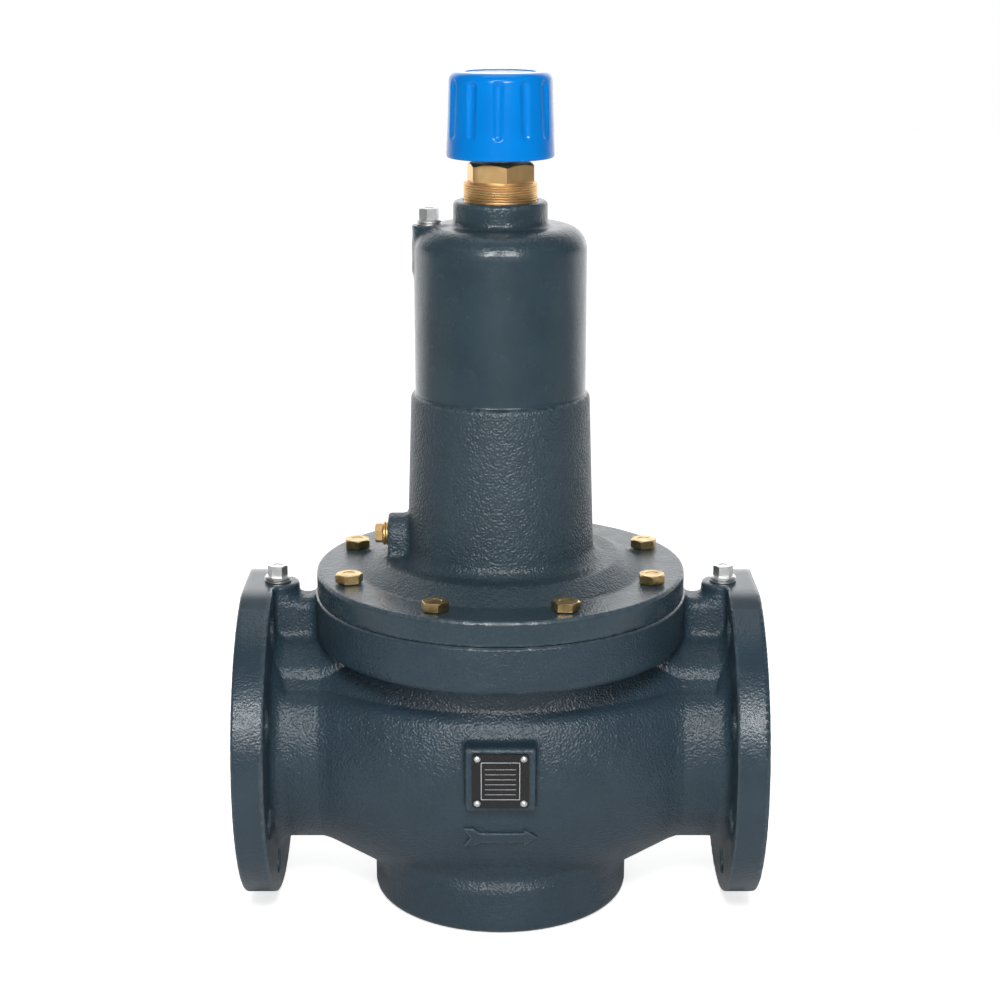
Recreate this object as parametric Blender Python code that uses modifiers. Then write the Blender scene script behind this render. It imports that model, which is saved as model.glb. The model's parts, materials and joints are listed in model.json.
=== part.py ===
"""Flanged differential pressure control valve with a shut-off knob, in metres, +Z up.

The origin is the centre of the base underside. Flow runs along +X, and the stem axis is Z.
"""

import math

import bmesh
import bpy
from mathutils import Matrix, Vector

# Fits and fineness
CLEARANCE = 0.0003
BODY_STEPS = 40
TRIM_STEPS = 28
SMALL_STEPS = 16
OVERRUN = 0.004

# Pipe connections
BORE_RADIUS = 0.050
PIPE_FACE_REACH = 0.051
PIPE_FLANGE_RADIUS = 0.110
PIPE_FLANGE_THICKNESS = 0.021
RAISED_FACE_LAND = 0.0025
RAISED_FACE_HEIGHT = 0.003
PIPE_BOLT_COUNT = 8
PIPE_BOLT_EDGE = 0.020
PIPE_BOLT_HOLE = 0.0095
FLANGE_FLAT_CUT = 0.0034

# Valve body
BASE_STAND = 0.002
NECK_RADIUS = 0.0725
NECK_LENGTH = 0.037
NECK_FILLET = 0.008
SHOULDER_RADIUS = 0.088
SHOULDER_OFFSET = 0.086
BARREL_RADIUS = 0.108
BODY_WALL = 0.009
BASE_RADIUS = 0.0866
BASE_ROUND = 0.005
BASE_WALL = 0.0106
BASE_FLOOR = 0.012
TOP_FACE_RISE = 0.1012
TOP_FLANGE_RADIUS = 0.124
TOP_FLANGE_THICKNESS = 0.0325
TOP_FLANGE_ROUND = 0.006
TOP_FLANGE_FILLET = 0.018
BRIDGE_THICKNESS = 0.010
BRIDGE_DROP = 0.015
BRIDGE_HALF_WIDTH = 0.055

# Test bosses and their ribs on top of the necks
TEST_BOSS_RADIUS = 0.0145
TEST_BOSS_SET_IN = 0.001
RIB_HALF_WIDTH = 0.014
RIB_DROP = 0.0096
DRILLING_RADIUS = 0.003

# Name plate pad and flow arrow
PAD_WIDTH = 0.0452
PAD_HEIGHT = 0.0428
PAD_STANDOFF = 0.0073
PAD_RISE = 0.0100
PAD_BEVEL = 0.002
PLATE_WIDTH = 0.0364
PLATE_HEIGHT = 0.0370
PLATE_THICKNESS = 0.001
PLATE_CORNER = 0.0025
RIVET_INSET = 0.0034
RIVET_HEAD_RADIUS = 0.0022
RIVET_HEAD_HEIGHT = 0.0012
RIVET_SHANK_RADIUS = 0.0013
RIVET_LENGTH = 0.005
ARROW_LENGTH = 0.0485
ARROW_HALF_HEIGHT = 0.0072
ARROW_SHAFT_HALF = 0.0042
ARROW_HEAD_LENGTH = 0.0095
ARROW_TAIL_LENGTH = 0.011
ARROW_DROP = 0.035
ARROW_RELIEF = 0.0018

# Bonnet with its spring column
BONNET_SET_IN = 0.0009
BONNET_FLANGE_THICKNESS = 0.0165
BONNET_EDGE_ROUND = 0.002
BONNET_BOLT_SEAT = 0.0121
BONNET_CONE_LEDGE = 0.010
BONNET_CONE_HEIGHT = 0.0087
COLUMN_FOOT_RADIUS = 0.062
COLUMN_FOOT_FILLET = 0.008
COLUMN_STEP_RADIUS = 0.0585
COLUMN_STEP_RISE = 0.1185
COLUMN_STEP_ROUND = 0.002
COLUMN_RADIUS = 0.056
COLUMN_HEIGHT = 0.2285
COLUMN_SHOULDER = 0.015
COLUMN_WALL = 0.006
COLUMN_ROOF = 0.0075
COLUMN_NECK_RADIUS = 0.0305
COLUMN_NECK_HEIGHT = 0.0160
COLUMN_NECK_FILLET = 0.003
GUIDE_RIB_WIDTH = 0.006
GUIDE_RIB_DEPTH = 0.004
BONNET_BOLT_COUNT = 8
BONNET_BOLT_EDGE = 0.016
BONNET_BOLT_RADIUS = 0.005
BONNET_BOLT_FLATS = 0.016
BONNET_BOLT_HEAD = 0.0064
BONNET_BOLT_LENGTH = 0.034

# Bleed boss on the column's foot and vent boss on its shoulder
BLEED_RISE = 0.0220
BLEED_BOSS_REACH = 0.075
BLEED_BOSS_HALF = 0.014
VENT_OFFSET = 0.046
VENT_BOSS_RADIUS = 0.011
VENT_BOSS_HEIGHT = 0.029
VENT_BOSS_TAPER = 0.0014

# Screw plugs
TEST_PLUG_RADIUS = 0.006
VENT_PLUG_RADIUS = 0.005
BLEED_PLUG_RADIUS = 0.005
PLUG_FLATS = 0.0115
PLUG_HEX_HEIGHT = 0.0072
PLUG_COLLAR = 0.002
PLUG_COLLAR_LIP = 0.0029
PLUG_SHANK = 0.009
BLEED_HEX_HEIGHT = 0.005
WASHER_THICKNESS = 0.0013
WASHER_LIP = 0.0029

# Seat and closing parts
LIFT = 0.012
SEAT_BORE = 0.038
SEAT_WALL = 0.0057
SEAT_LIP_WIDTH = 0.0045
SEAT_LIP_HEIGHT = 0.0028
SEAT_FLANGE_LIP = 0.0053
SEAT_FLANGE_THICKNESS = 0.0022
SEAT_SKIRT = 0.0123
SEAL_WIDTH = 0.015
SEAL_THICKNESS = 0.005
SEAL_OVERHANG = 0.0025
CONE_RIM_WIDTH = 0.0027
CONE_RIM_DEPTH = 0.0035
CONE_DISC = 0.0115
CONE_PISTON_HEIGHT = 0.037
CONE_PISTON_WALL = 0.0067
CONE_HUB_RADIUS = 0.016
CONE_HUB_HEIGHT = 0.012
RETAINER_THICKNESS = 0.004
RETAINER_SET_IN = 0.002
BALANCE_HOLE = 0.003
BALANCE_HOLE_CIRCLE = 0.024
BALANCE_HOLE_COUNT = 4
PISTON_RADIUS = 0.0437
PISTON_GAP = 0.0004
RING_SECTION = 0.0015
STEM_RADIUS = 0.008
STEM_TOP_RADIUS = 0.007
STEM_COLLAR = 0.012
STEM_COLLAR_HEIGHT = 0.004
NUT_FLATS = 0.024
NUT_HEIGHT = 0.008
NUT_THREAD_END = 0.002

# Partition plate with its balance cylinder
CHAMBER_DEPTH = 0.0102
PARTITION_THICKNESS = 0.009
PARTITION_SEAT = 0.0043
PARTITION_HUB_RADIUS = 0.020
PARTITION_HUB_HEIGHT = 0.008
CYLINDER_WALL = 0.0059
CYLINDER_HEIGHT = 0.052
BUSH_WALL = 0.0047
STEM_RING_POCKET = 0.005

# Diaphragm and its plates
DIAPHRAGM_LAND = 0.0024
DIAPHRAGM_RIM_WIDTH = 0.0077
DIAPHRAGM_RIM = 0.0033
DIAPHRAGM_THICKNESS = 0.002
DIAPHRAGM_ROLL = 0.0022
PLATE_GAP = 0.0127
DIAPHRAGM_ROLL_WIDTH = 0.0314
LOWER_PLATE_THICKNESS = 0.0035
UPPER_PLATE_THICKNESS = 0.004
ROOF_GAP = 0.003

# Spring and setting parts
RETAINING_RING_WIDTH = 0.0077
RETAINING_RING_THICKNESS = 0.0015
RETAINING_RING_GAP = 0.012
RETAINING_GROOVE = 0.002
SPRING_SEAT_THICKNESS = 0.006
SPRING_SEAT_HOLE = 0.012
SPRING_COLLAR_HEIGHT = 0.004
SPRING_MEAN_RADIUS = 0.036
SPRING_WIRE_RADIUS = 0.004
SPRING_TURNS = 9
SPRING_POINTS_PER_TURN = 10
SPRING_END_PITCH = 0.0088
SPRING_COLLAR_GAP = 0.005
SPRING_PLATE_THICKNESS = 0.006
SPRING_PLATE_EDGE_GAP = 0.0018
SPRING_PLATE_HUB_RADIUS = 0.016
SPRING_PLATE_HUB_HEIGHT = 0.014
SPRING_PLATE_TOP_GAP = 0.002
RIB_SIDE_GAP = 0.0005
SETTING_RADIUS = 0.008
SETTING_COLLAR_RADIUS = 0.013
SETTING_COLLAR_HEIGHT = 0.004
SETTING_NECK_LENGTH = 0.026
SETTING_FOOT_LIP = 0.0025
SETTING_FOOT_HEIGHT = 0.006
SETTING_KEY_FLATS = 0.004
SETTING_KEY_DEPTH = 0.008
SLEEVE_RADIUS = 0.014
SLEEVE_GRIP = 0.015
SLEEVE_LIP = 0.013
SLEEVE_RISE = 0.042

# Gland, shut-off spindle and knob
GLAND_RADIUS = 0.024
GLAND_COLLAR_HEIGHT = 0.0127
GLAND_THREAD_PITCH = 0.0015
GLAND_THREAD_DEPTH = 0.001
GLAND_FLATS = 0.040
GLAND_HEX_HEIGHT = 0.0115
GLAND_HEX_TURN = math.radians(11)
GLAND_RING_DEPTH = 0.006
SPINDLE_RADIUS = 0.011
SPINDLE_BORE = 0.0045
SPINDLE_FOOT_RADIUS = 0.016
SPINDLE_FOOT_HEIGHT = 0.004
SPINDLE_SQUARE = 0.015
SPINDLE_END_RADIUS = 0.007
SPINDLE_RING_DROP = 0.005
THRUST_WASHER_RADIUS = 0.014
THRUST_WASHER_BORE = 0.006
THRUST_WASHER_THICKNESS = 0.0015
KNOB_GAP = 0.0032
KNOB_HEIGHT = 0.0538
KNOB_FOOT_RADIUS = 0.0349
KNOB_HEAD_RADIUS = 0.0332
KNOB_ROUND = 0.0055
KNOB_FOOT_ROUND = 0.0014
KNOB_WALL = 0.0034
KNOB_WEB = 0.010
KNOB_HUB_RADIUS = 0.015
KNOB_HUB_GAP = 0.0015
KNOB_FLUTE_COUNT = 12
KNOB_FLUTE_RADIUS = 0.00435
KNOB_FLUTE_DEPTH = 0.0015
KNOB_FLUTE_TOP = 0.0037
KNOB_FLUTE_FOOT = 0.0117
KNOB_FLUTE_TURN = math.radians(-2.6)
KNOB_CAP_RADIUS = 0.0225
KNOB_CAP_THICKNESS = 0.0048
KNOB_CAP_SUNK = 0.0007
KNOB_POCKET_RADIUS = 0.014
KNOB_NUT_FLATS = 0.019
KNOB_NUT_HEIGHT = 0.005

# Levels from the base underside up to the knob
AXIS_Z = PIPE_FLANGE_RADIUS + BASE_STAND
TOP_FACE_Z = AXIS_Z + TOP_FACE_RISE
BONNET_FACE_Z = TOP_FACE_Z + CLEARANCE
BONNET_TOP_Z = BONNET_FACE_Z + BONNET_FLANGE_THICKNESS
COLUMN_STEP_Z = BONNET_TOP_Z + COLUMN_STEP_RISE
COLUMN_TOP_Z = BONNET_TOP_Z + COLUMN_HEIGHT
COLUMN_ROOF_Z = COLUMN_TOP_Z - COLUMN_ROOF
NECK_TOP_Z = COLUMN_TOP_Z + COLUMN_NECK_HEIGHT
GLAND_HEX_Z = NECK_TOP_Z + GLAND_COLLAR_HEIGHT
GLAND_TOP_Z = GLAND_HEX_Z + GLAND_HEX_HEIGHT
KNOB_Z = GLAND_TOP_Z + KNOB_GAP
KNOB_TOP_Z = KNOB_Z + KNOB_HEIGHT
FLAT_Z = AXIS_Z + PIPE_FLANGE_RADIUS - FLANGE_FLAT_CUT

# Levels of the seat and the closing parts, with the valve open
BRIDGE_TOP_Z = AXIS_Z - BRIDGE_DROP + BRIDGE_THICKNESS / 2
SEAT_FLANGE_Z = BRIDGE_TOP_Z + CLEARANCE
SEAT_LIP_Z = SEAT_FLANGE_Z + SEAT_FLANGE_THICKNESS + SEAT_LIP_HEIGHT
SEAL_Z = SEAT_LIP_Z + CLEARANCE + LIFT
CONE_FACE_Z = SEAL_Z + SEAL_THICKNESS + CLEARANCE
CONE_RIM_Z = CONE_FACE_Z - CONE_RIM_DEPTH
CONE_DISC_TOP_Z = CONE_FACE_Z + CONE_DISC
CONE_TOP_Z = CONE_DISC_TOP_Z + CONE_PISTON_HEIGHT
CONE_HUB_Z = CONE_DISC_TOP_Z + CONE_HUB_HEIGHT
RETAINER_Z = SEAL_Z - CLEARANCE - RETAINER_THICKNESS
CONE_NUT_Z = RETAINER_Z - CLEARANCE - NUT_HEIGHT
STEM_FOOT_Z = CONE_NUT_Z - NUT_THREAD_END

# Levels of the diaphragm and its plates
PARTITION_TOP_Z = TOP_FACE_Z - CHAMBER_DEPTH
PARTITION_Z = PARTITION_TOP_Z - PARTITION_THICKNESS
RIM_Z = TOP_FACE_Z - DIAPHRAGM_RIM
LOWER_PLATE_Z = PARTITION_TOP_Z + LIFT + PLATE_GAP - LIFT + CLEARANCE
DIAPHRAGM_Z = LOWER_PLATE_Z + LOWER_PLATE_THICKNESS + CLEARANCE
UPPER_PLATE_Z = DIAPHRAGM_Z + DIAPHRAGM_THICKNESS + CLEARANCE
UPPER_PLATE_TOP_Z = UPPER_PLATE_Z + UPPER_PLATE_THICKNESS
ROOF_Z = UPPER_PLATE_TOP_Z + ROOF_GAP
DIAPHRAGM_NUT_Z = UPPER_PLATE_TOP_Z + CLEARANCE
DIAPHRAGM_NUT_TOP_Z = DIAPHRAGM_NUT_Z + NUT_HEIGHT

# Levels of the spring and the setting parts
RETAINING_RING_Z = DIAPHRAGM_NUT_TOP_Z + ROOF_GAP
SPRING_SEAT_Z = RETAINING_RING_Z + RETAINING_RING_THICKNESS + CLEARANCE
SPRING_SEAT_TOP_Z = SPRING_SEAT_Z + SPRING_SEAT_THICKNESS
SPRING_Z = SPRING_SEAT_TOP_Z + CLEARANCE
SPINDLE_Z = COLUMN_ROOF_Z - CLEARANCE - SPINDLE_FOOT_HEIGHT
THRUST_WASHER_Z = SPINDLE_Z - CLEARANCE - THRUST_WASHER_THICKNESS
SETTING_COLLAR_TOP_Z = THRUST_WASHER_Z - CLEARANCE
SETTING_COLLAR_Z = SETTING_COLLAR_TOP_Z - SETTING_COLLAR_HEIGHT
SPRING_HUB_TOP_Z = SETTING_COLLAR_Z - SPRING_PLATE_TOP_GAP
SPRING_PLATE_TOP_Z = SPRING_HUB_TOP_Z - SPRING_PLATE_HUB_HEIGHT
SPRING_PLATE_Z = SPRING_PLATE_TOP_Z - SPRING_PLATE_THICKNESS
SPRING_TOP_Z = SPRING_PLATE_Z - CLEARANCE
SLEEVE_Z = DIAPHRAGM_NUT_TOP_Z + SLEEVE_RISE - SLEEVE_GRIP
STEM_TOP_Z = SLEEVE_Z + SLEEVE_GRIP
SETTING_FOOT_Z = STEM_TOP_Z + 2 * CLEARANCE
SLEEVE_LIP_Z = SETTING_FOOT_Z + SETTING_FOOT_HEIGHT + CLEARANCE
SLEEVE_TOP_Z = SLEEVE_LIP_Z + SLEEVE_LIP

# Levels inside the knob
KNOB_HUB_Z = GLAND_TOP_Z + LIFT + KNOB_HUB_GAP
CAP_Z = KNOB_TOP_Z - KNOB_CAP_SUNK - KNOB_CAP_THICKNESS
CAP_SEAT_Z = CAP_Z - CLEARANCE
SPINDLE_TOP_Z = CAP_SEAT_Z - CLEARANCE
KNOB_NUT_Z = SPINDLE_TOP_Z - NUT_THREAD_END - KNOB_NUT_HEIGHT
POCKET_Z = KNOB_NUT_Z - CLEARANCE
KNOB_WEB_Z = CAP_SEAT_Z - KNOB_WEB

# Radii that follow from what they fit
PIPE_BOLT_CIRCLE = PIPE_FLANGE_RADIUS - PIPE_BOLT_EDGE
RAISED_FACE_RADIUS = PIPE_BOLT_CIRCLE - PIPE_BOLT_HOLE - RAISED_FACE_LAND
PAD_FRONT = BARREL_RADIUS + PAD_STANDOFF
BONNET_FLANGE_RADIUS = TOP_FLANGE_RADIUS - BONNET_SET_IN
BONNET_BOLT_CIRCLE = BONNET_FLANGE_RADIUS - BONNET_BOLT_EDGE
BONNET_CONE_FOOT = BONNET_BOLT_CIRCLE - BONNET_BOLT_SEAT
BONNET_CONE_HEAD = COLUMN_FOOT_RADIUS + COLUMN_FOOT_FILLET + BONNET_CONE_LEDGE
BONNET_BOLT_HOLE = BONNET_BOLT_RADIUS + CLEARANCE
RIM_SEAT_RADIUS = BONNET_BOLT_CIRCLE - BONNET_BOLT_HOLE - DIAPHRAGM_LAND
RIM_RADIUS = RIM_SEAT_RADIUS - CLEARANCE
CHAMBER_RADIUS = RIM_RADIUS - DIAPHRAGM_RIM_WIDTH
DIAPHRAGM_PLATE_RADIUS = CHAMBER_RADIUS - DIAPHRAGM_ROLL_WIDTH
PARTITION_RADIUS = CHAMBER_RADIUS - CLEARANCE
OPENING_RADIUS = CHAMBER_RADIUS - PARTITION_SEAT
COLUMN_BORE = COLUMN_RADIUS - COLUMN_WALL
SEAT_OUTER = SEAT_BORE + SEAT_WALL
SEAT_HOLE = SEAT_OUTER + CLEARANCE
SEAL_RADIUS = SEAT_BORE + SEAT_LIP_WIDTH + SEAL_OVERHANG
SEAL_HOLE = SEAL_RADIUS - SEAL_WIDTH
CONE_RECESS = SEAL_RADIUS + CLEARANCE
CONE_RADIUS = CONE_RECESS + CONE_RIM_WIDTH
RETAINER_RADIUS = SEAT_BORE - RETAINER_SET_IN
CYLINDER_BORE = PISTON_RADIUS + PISTON_GAP
STEM_HOLE = STEM_RADIUS + CLEARANCE
STEM_TOP_HOLE = STEM_TOP_RADIUS + CLEARANCE
BUSH_RADIUS = STEM_HOLE + BUSH_WALL
FACE_X = TOP_FLANGE_RADIUS + PIPE_FACE_REACH
FLANGE_BACK_X = FACE_X - RAISED_FACE_HEIGHT - PIPE_FLANGE_THICKNESS
TEST_X = FLANGE_BACK_X - TEST_BOSS_SET_IN
NECK_X = FLANGE_BACK_X - NECK_LENGTH

PARTS = bpy.data.collections.new("control_valve")
TOOLS = bpy.data.collections.new("control_valve_cutters")


def start_scene():
    """Empty the scene and add the two collections."""
    for obj in list(bpy.data.objects):
        bpy.data.objects.remove(obj, do_unlink=True)
    bpy.context.scene.collection.children.link(PARTS)
    bpy.context.scene.collection.children.link(TOOLS)


def finish(name, colour, roughness, metallic):
    """A material from a colour, a roughness and a metallic value."""
    material = bpy.data.materials.new(name)
    material.use_nodes = True
    shader = material.node_tree.nodes["Principled BSDF"]
    shader.inputs["Base Color"].default_value = (*colour, 1.0)
    shader.inputs["Roughness"].default_value = roughness
    shader.inputs["Metallic"].default_value = metallic
    return material


CAST = finish("slate_cast_iron", (0.055, 0.077, 0.095), 0.42, 0.0)
STEEL = finish("steel", (0.52, 0.52, 0.50), 0.35, 1.0)
SPRING_STEEL = finish("spring_steel", (0.18, 0.18, 0.19), 0.4, 1.0)
ZINC = finish("zinc_plate", (0.66, 0.67, 0.66), 0.3, 1.0)
GOLD_ZINC = finish("yellow_zinc_plate", (0.62, 0.43, 0.16), 0.32, 1.0)
BRASS = finish("brass", (0.62, 0.38, 0.11), 0.26, 1.0)
RUBBER = finish("rubber", (0.02, 0.02, 0.022), 0.7, 0.0)
BLUE = finish("blue_plastic", (0.0, 0.21, 0.72), 0.25, 0.0)
PALE = finish("pale_plastic", (0.72, 0.74, 0.78), 0.35, 0.0)
BLACK_PLATE = finish("black_plate", (0.008, 0.008, 0.009), 0.3, 0.0)


def add_object(name, mesh, material):
    """Link a mesh as a part, or as a cutter where no material is given."""
    obj = bpy.data.objects.new(name, mesh)
    if material:
        PARTS.objects.link(obj)
        mesh.materials.append(material)
    else:
        TOOLS.objects.link(obj)
        obj.hide_render = True
        obj.display_type = "WIRE"
    return obj


def turned(name, profile, material=None, steps=TRIM_STEPS, axis="Z"):
    """Turn a profile of (radius, height) points, run down its outer side, about an axis."""
    mesh = bpy.data.meshes.new(name)
    points = [(radius, 0.0, height) for radius, height in profile]
    edges = [(i, i + 1) for i in range(len(points) - 1)]
    if profile[0][0] > 0.0:
        edges.append((len(points) - 1, 0))
    mesh.from_pydata(points, edges, [])
    obj = add_object(name, mesh, material)
    if axis == "X":
        obj.rotation_euler = (0.0, math.pi / 2, 0.0)
    screw = obj.modifiers.new("turn", "SCREW")
    screw.axis = "Z"
    screw.steps = steps
    screw.render_steps = steps
    screw.use_merge_vertices = True
    screw.merge_threshold = 1e-6
    screw.use_smooth_shade = True
    return obj


def arc(centre, radius, start, end, count):
    """Points of (radius, height) on an arc, angles in degrees, both ends included."""
    points = []
    for i in range(count + 1):
        angle = math.radians(start + (end - start) * i / count)
        points.append((centre[0] + radius * math.cos(angle), centre[1] + radius * math.sin(angle)))
    return points


def ring(inner, outer, low, high):
    """Profile of a plain ring."""
    return [(inner, high), (outer, high), (outer, low), (inner, low)]


def rods(name, places, radius, length, axis="Z", steps=12, material=None, turn=0.0):
    """Cylinders, or prisms where steps is small, that start at the places and run along an axis."""
    mesh = bpy.data.meshes.new(name)
    shape = bmesh.new()
    lean = Matrix.Rotation(math.pi / 2, 4, "Y") if axis == "X" else Matrix.Identity(4)
    spin = Matrix.Rotation(turn, 4, "Z")
    rise = Matrix.Translation((0.0, 0.0, length / 2))
    for place in places:
        bmesh.ops.create_cone(
            shape,
            cap_ends=True,
            segments=steps,
            radius1=radius,
            radius2=radius,
            depth=length,
            matrix=Matrix.Translation(place) @ lean @ rise @ spin,
        )
    shape.to_mesh(mesh)
    shape.free()
    return add_object(name, mesh, material)


def hexagon(name, flats, height, low, turn=0.0, material=None):
    """A hexagonal prism on the stem axis."""
    return rods(name, [(0.0, 0.0, low)], flats / math.sqrt(3), height, "Z", 6, material, turn)


def block(name, low, high, bevel=0.0):
    """A box between two corners, with its edges rounded where a bevel is given."""
    size = Vector(high) - Vector(low)
    mesh = bpy.data.meshes.new(name)
    shape = bmesh.new()
    middle = Matrix.Translation((Vector(high) + Vector(low)) / 2)
    bmesh.ops.create_cube(shape, size=1.0, matrix=middle @ Matrix.Diagonal((*size, 1.0)))
    shape.to_mesh(mesh)
    shape.free()
    obj = add_object(name, mesh, None)
    if bevel:
        edge = obj.modifiers.new("edges", "BEVEL")
        edge.width = bevel
        edge.segments = 2
    return obj


def extruded(name, outline, thickness, place, material=None):
    """A flat outline drawn in X and Z, with its thickness along Y, centred on a place."""
    curve = bpy.data.curves.new(name, "CURVE")
    curve.dimensions = "2D"
    curve.fill_mode = "BOTH"
    curve.extrude = thickness / 2
    spline = curve.splines.new("POLY")
    spline.points.add(len(outline) - 1)
    for point, (across, up) in zip(spline.points, outline):
        point.co = (across, up, 0.0, 1.0)
    spline.use_cyclic_u = True
    drawn = bpy.data.objects.new(name, curve)
    TOOLS.objects.link(drawn)
    mesh = welded_mesh(drawn)
    bpy.data.objects.remove(drawn, do_unlink=True)
    mesh.transform(Matrix.Translation(place) @ Matrix.Rotation(math.pi / 2, 4, "X"))
    return add_object(name, mesh, material)


def welded_mesh(obj):
    """The evaluated mesh of an object, with doubled points merged."""
    bpy.context.view_layer.update()
    graph = bpy.context.evaluated_depsgraph_get()
    mesh = bpy.data.meshes.new_from_object(obj.evaluated_get(graph), depsgraph=graph)
    shape = bmesh.new()
    shape.from_mesh(mesh)
    bmesh.ops.remove_doubles(shape, verts=shape.verts, dist=1e-6)
    bmesh.ops.recalc_face_normals(shape, faces=shape.faces)
    shape.to_mesh(mesh)
    shape.free()
    return mesh


def boolean(obj, tool, operation):
    """Add an exact Boolean step to an object."""
    step = obj.modifiers.new(f"{operation.lower()}_{tool.name}", "BOOLEAN")
    step.operation = operation
    step.solver = "EXACT"
    step.object = tool


def join(obj, *tools):
    """Join tools to an object."""
    for tool in tools:
        boolean(obj, tool, "UNION")


def cut(obj, *tools):
    """Cut tools out of an object."""
    for tool in tools:
        boolean(obj, tool, "DIFFERENCE")


def settle(obj):
    """Apply an object's steps and shade its round faces smooth."""
    material = obj.data.materials[0]
    bpy.context.view_layer.update()
    graph = bpy.context.evaluated_depsgraph_get()
    mesh = bpy.data.meshes.new_from_object(obj.evaluated_get(graph), depsgraph=graph)
    obj.modifiers.clear()
    obj.data = mesh
    mesh.name = obj.name
    mesh.materials.clear()
    mesh.materials.append(material)
    mesh.shade_smooth()
    mesh.set_sharp_from_angle(angle=math.radians(35))
    return obj


def copy_to(obj, name, place, turn=0.0):
    """Another object on the same mesh."""
    other = bpy.data.objects.new(name, obj.data)
    PARTS.objects.link(other)
    other.location = place
    other.rotation_euler = (0.0, 0.0, turn)
    return other


def around(count, radius, height, phase):
    """Places spaced evenly on a circle about the stem axis."""
    places = []
    for i in range(count):
        angle = phase + 2 * math.pi * i / count
        places.append((radius * math.cos(angle), radius * math.sin(angle), height))
    return places


def barrel_profile(inset, neck_radius, neck_x, end_x, ends):
    """Half outline of the barrel from one end to the other, set in from the outside."""
    crown = BARREL_RADIUS - inset
    shoulder = SHOULDER_RADIUS - inset
    sagitta = crown - shoulder
    bow = (SHOULDER_OFFSET**2 + sagitta**2) / (2 * sagitta)
    half_angle = math.degrees(math.asin(SHOULDER_OFFSET / bow))
    middle = arc((crown - bow, 0.0), bow, half_angle, -half_angle, 8)
    side = [*ends, (neck_radius, neck_x)]
    mirrored = [(radius, -x) for radius, x in reversed(side)]
    return [(0.0, end_x), *side, *middle, *mirrored, (0.0, -end_x)]


def strip_outline(centreline, thickness):
    """Outline of a strip of even thickness along a line of (x, z) points."""
    points = [Vector(point) for point in centreline]
    upper = []
    lower = []
    for i, point in enumerate(points):
        before = (point - points[i - 1]).normalized() if i else None
        after = (points[i + 1] - point).normalized() if i + 1 < len(points) else None
        run = ((before or after) + (after or before)).normalized()
        normal = Vector((-run.y, run.x))
        half = thickness / 2 / max(0.2, run.dot(after or before))
        upper.append(point + normal * half)
        lower.append(point - normal * half)
    return [tuple(point) for point in upper + lower[::-1]]


def body_outside():
    """Barrel, necks and pipe flanges turned about the pipe axis, with the cast parts joined on."""
    fillet = arc(
        (NECK_RADIUS + NECK_FILLET, FLANGE_BACK_X - NECK_FILLET), NECK_FILLET, 90, 180, 2
    )
    ends = [
        (RAISED_FACE_RADIUS, FACE_X),
        (RAISED_FACE_RADIUS, FACE_X - RAISED_FACE_HEIGHT),
        (PIPE_FLANGE_RADIUS, FACE_X - RAISED_FACE_HEIGHT),
        (PIPE_FLANGE_RADIUS, FLANGE_BACK_X),
        *fillet,
    ]
    profile = barrel_profile(0.0, NECK_RADIUS, NECK_X, FACE_X, ends)
    body = turned("valve_body", profile, CAST, BODY_STEPS, "X")
    body.location.z = AXIS_Z
    flange_low = TOP_FACE_Z - TOP_FLANGE_THICKNESS
    flange_lip = TOP_FLANGE_RADIUS - TOP_FLANGE_ROUND
    edge = arc((flange_lip, flange_low + TOP_FLANGE_ROUND), TOP_FLANGE_ROUND, 0, -90, 3)
    hollow = (flange_lip - TOP_FLANGE_ROUND, flange_low - TOP_FLANGE_FILLET)
    under = arc(hollow, TOP_FLANGE_FILLET, 90, 180, 3)
    flange = turned(
        "top_flange",
        [
            (0.0, TOP_FACE_Z),
            (TOP_FLANGE_RADIUS, TOP_FACE_Z),
            *edge,
            *under,
            (0.0, under[-1][1]),
        ],
        None,
        BODY_STEPS,
    )
    base = turned(
        "base",
        [
            (0.0, AXIS_Z - BRIDGE_HALF_WIDTH),
            (BASE_RADIUS, AXIS_Z - BRIDGE_HALF_WIDTH),
            *arc((BASE_RADIUS - BASE_ROUND, BASE_ROUND), BASE_ROUND, 0, -90, 2),
            (0.0, 0.0),
        ],
        None,
        BODY_STEPS,
    )
    foot_z = AXIS_Z + BORE_RADIUS + BODY_WALL
    boss_height = FLAT_Z - foot_z
    boss_places = [(side * TEST_X, 0.0, foot_z) for side in (-1, 1)]
    bosses = rods("test_bosses", boss_places, TEST_BOSS_RADIUS, boss_height, "Z", 20)
    join(body, flange, base, bosses)
    rib_run = TEST_X - CHAMBER_RADIUS - DIAPHRAGM_RIM_WIDTH
    for side in (-1, 1):
        inner_x = side * (TEST_X - rib_run)
        outer_x = side * TEST_X
        rib = block(
            f"rib_{side}",
            (min(inner_x, outer_x), -RIB_HALF_WIDTH, foot_z),
            (max(inner_x, outer_x), RIB_HALF_WIDTH, FLAT_Z - RIB_DROP),
            RIB_HALF_WIDTH / 3,
        )
        join(body, rib)
    return body


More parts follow.
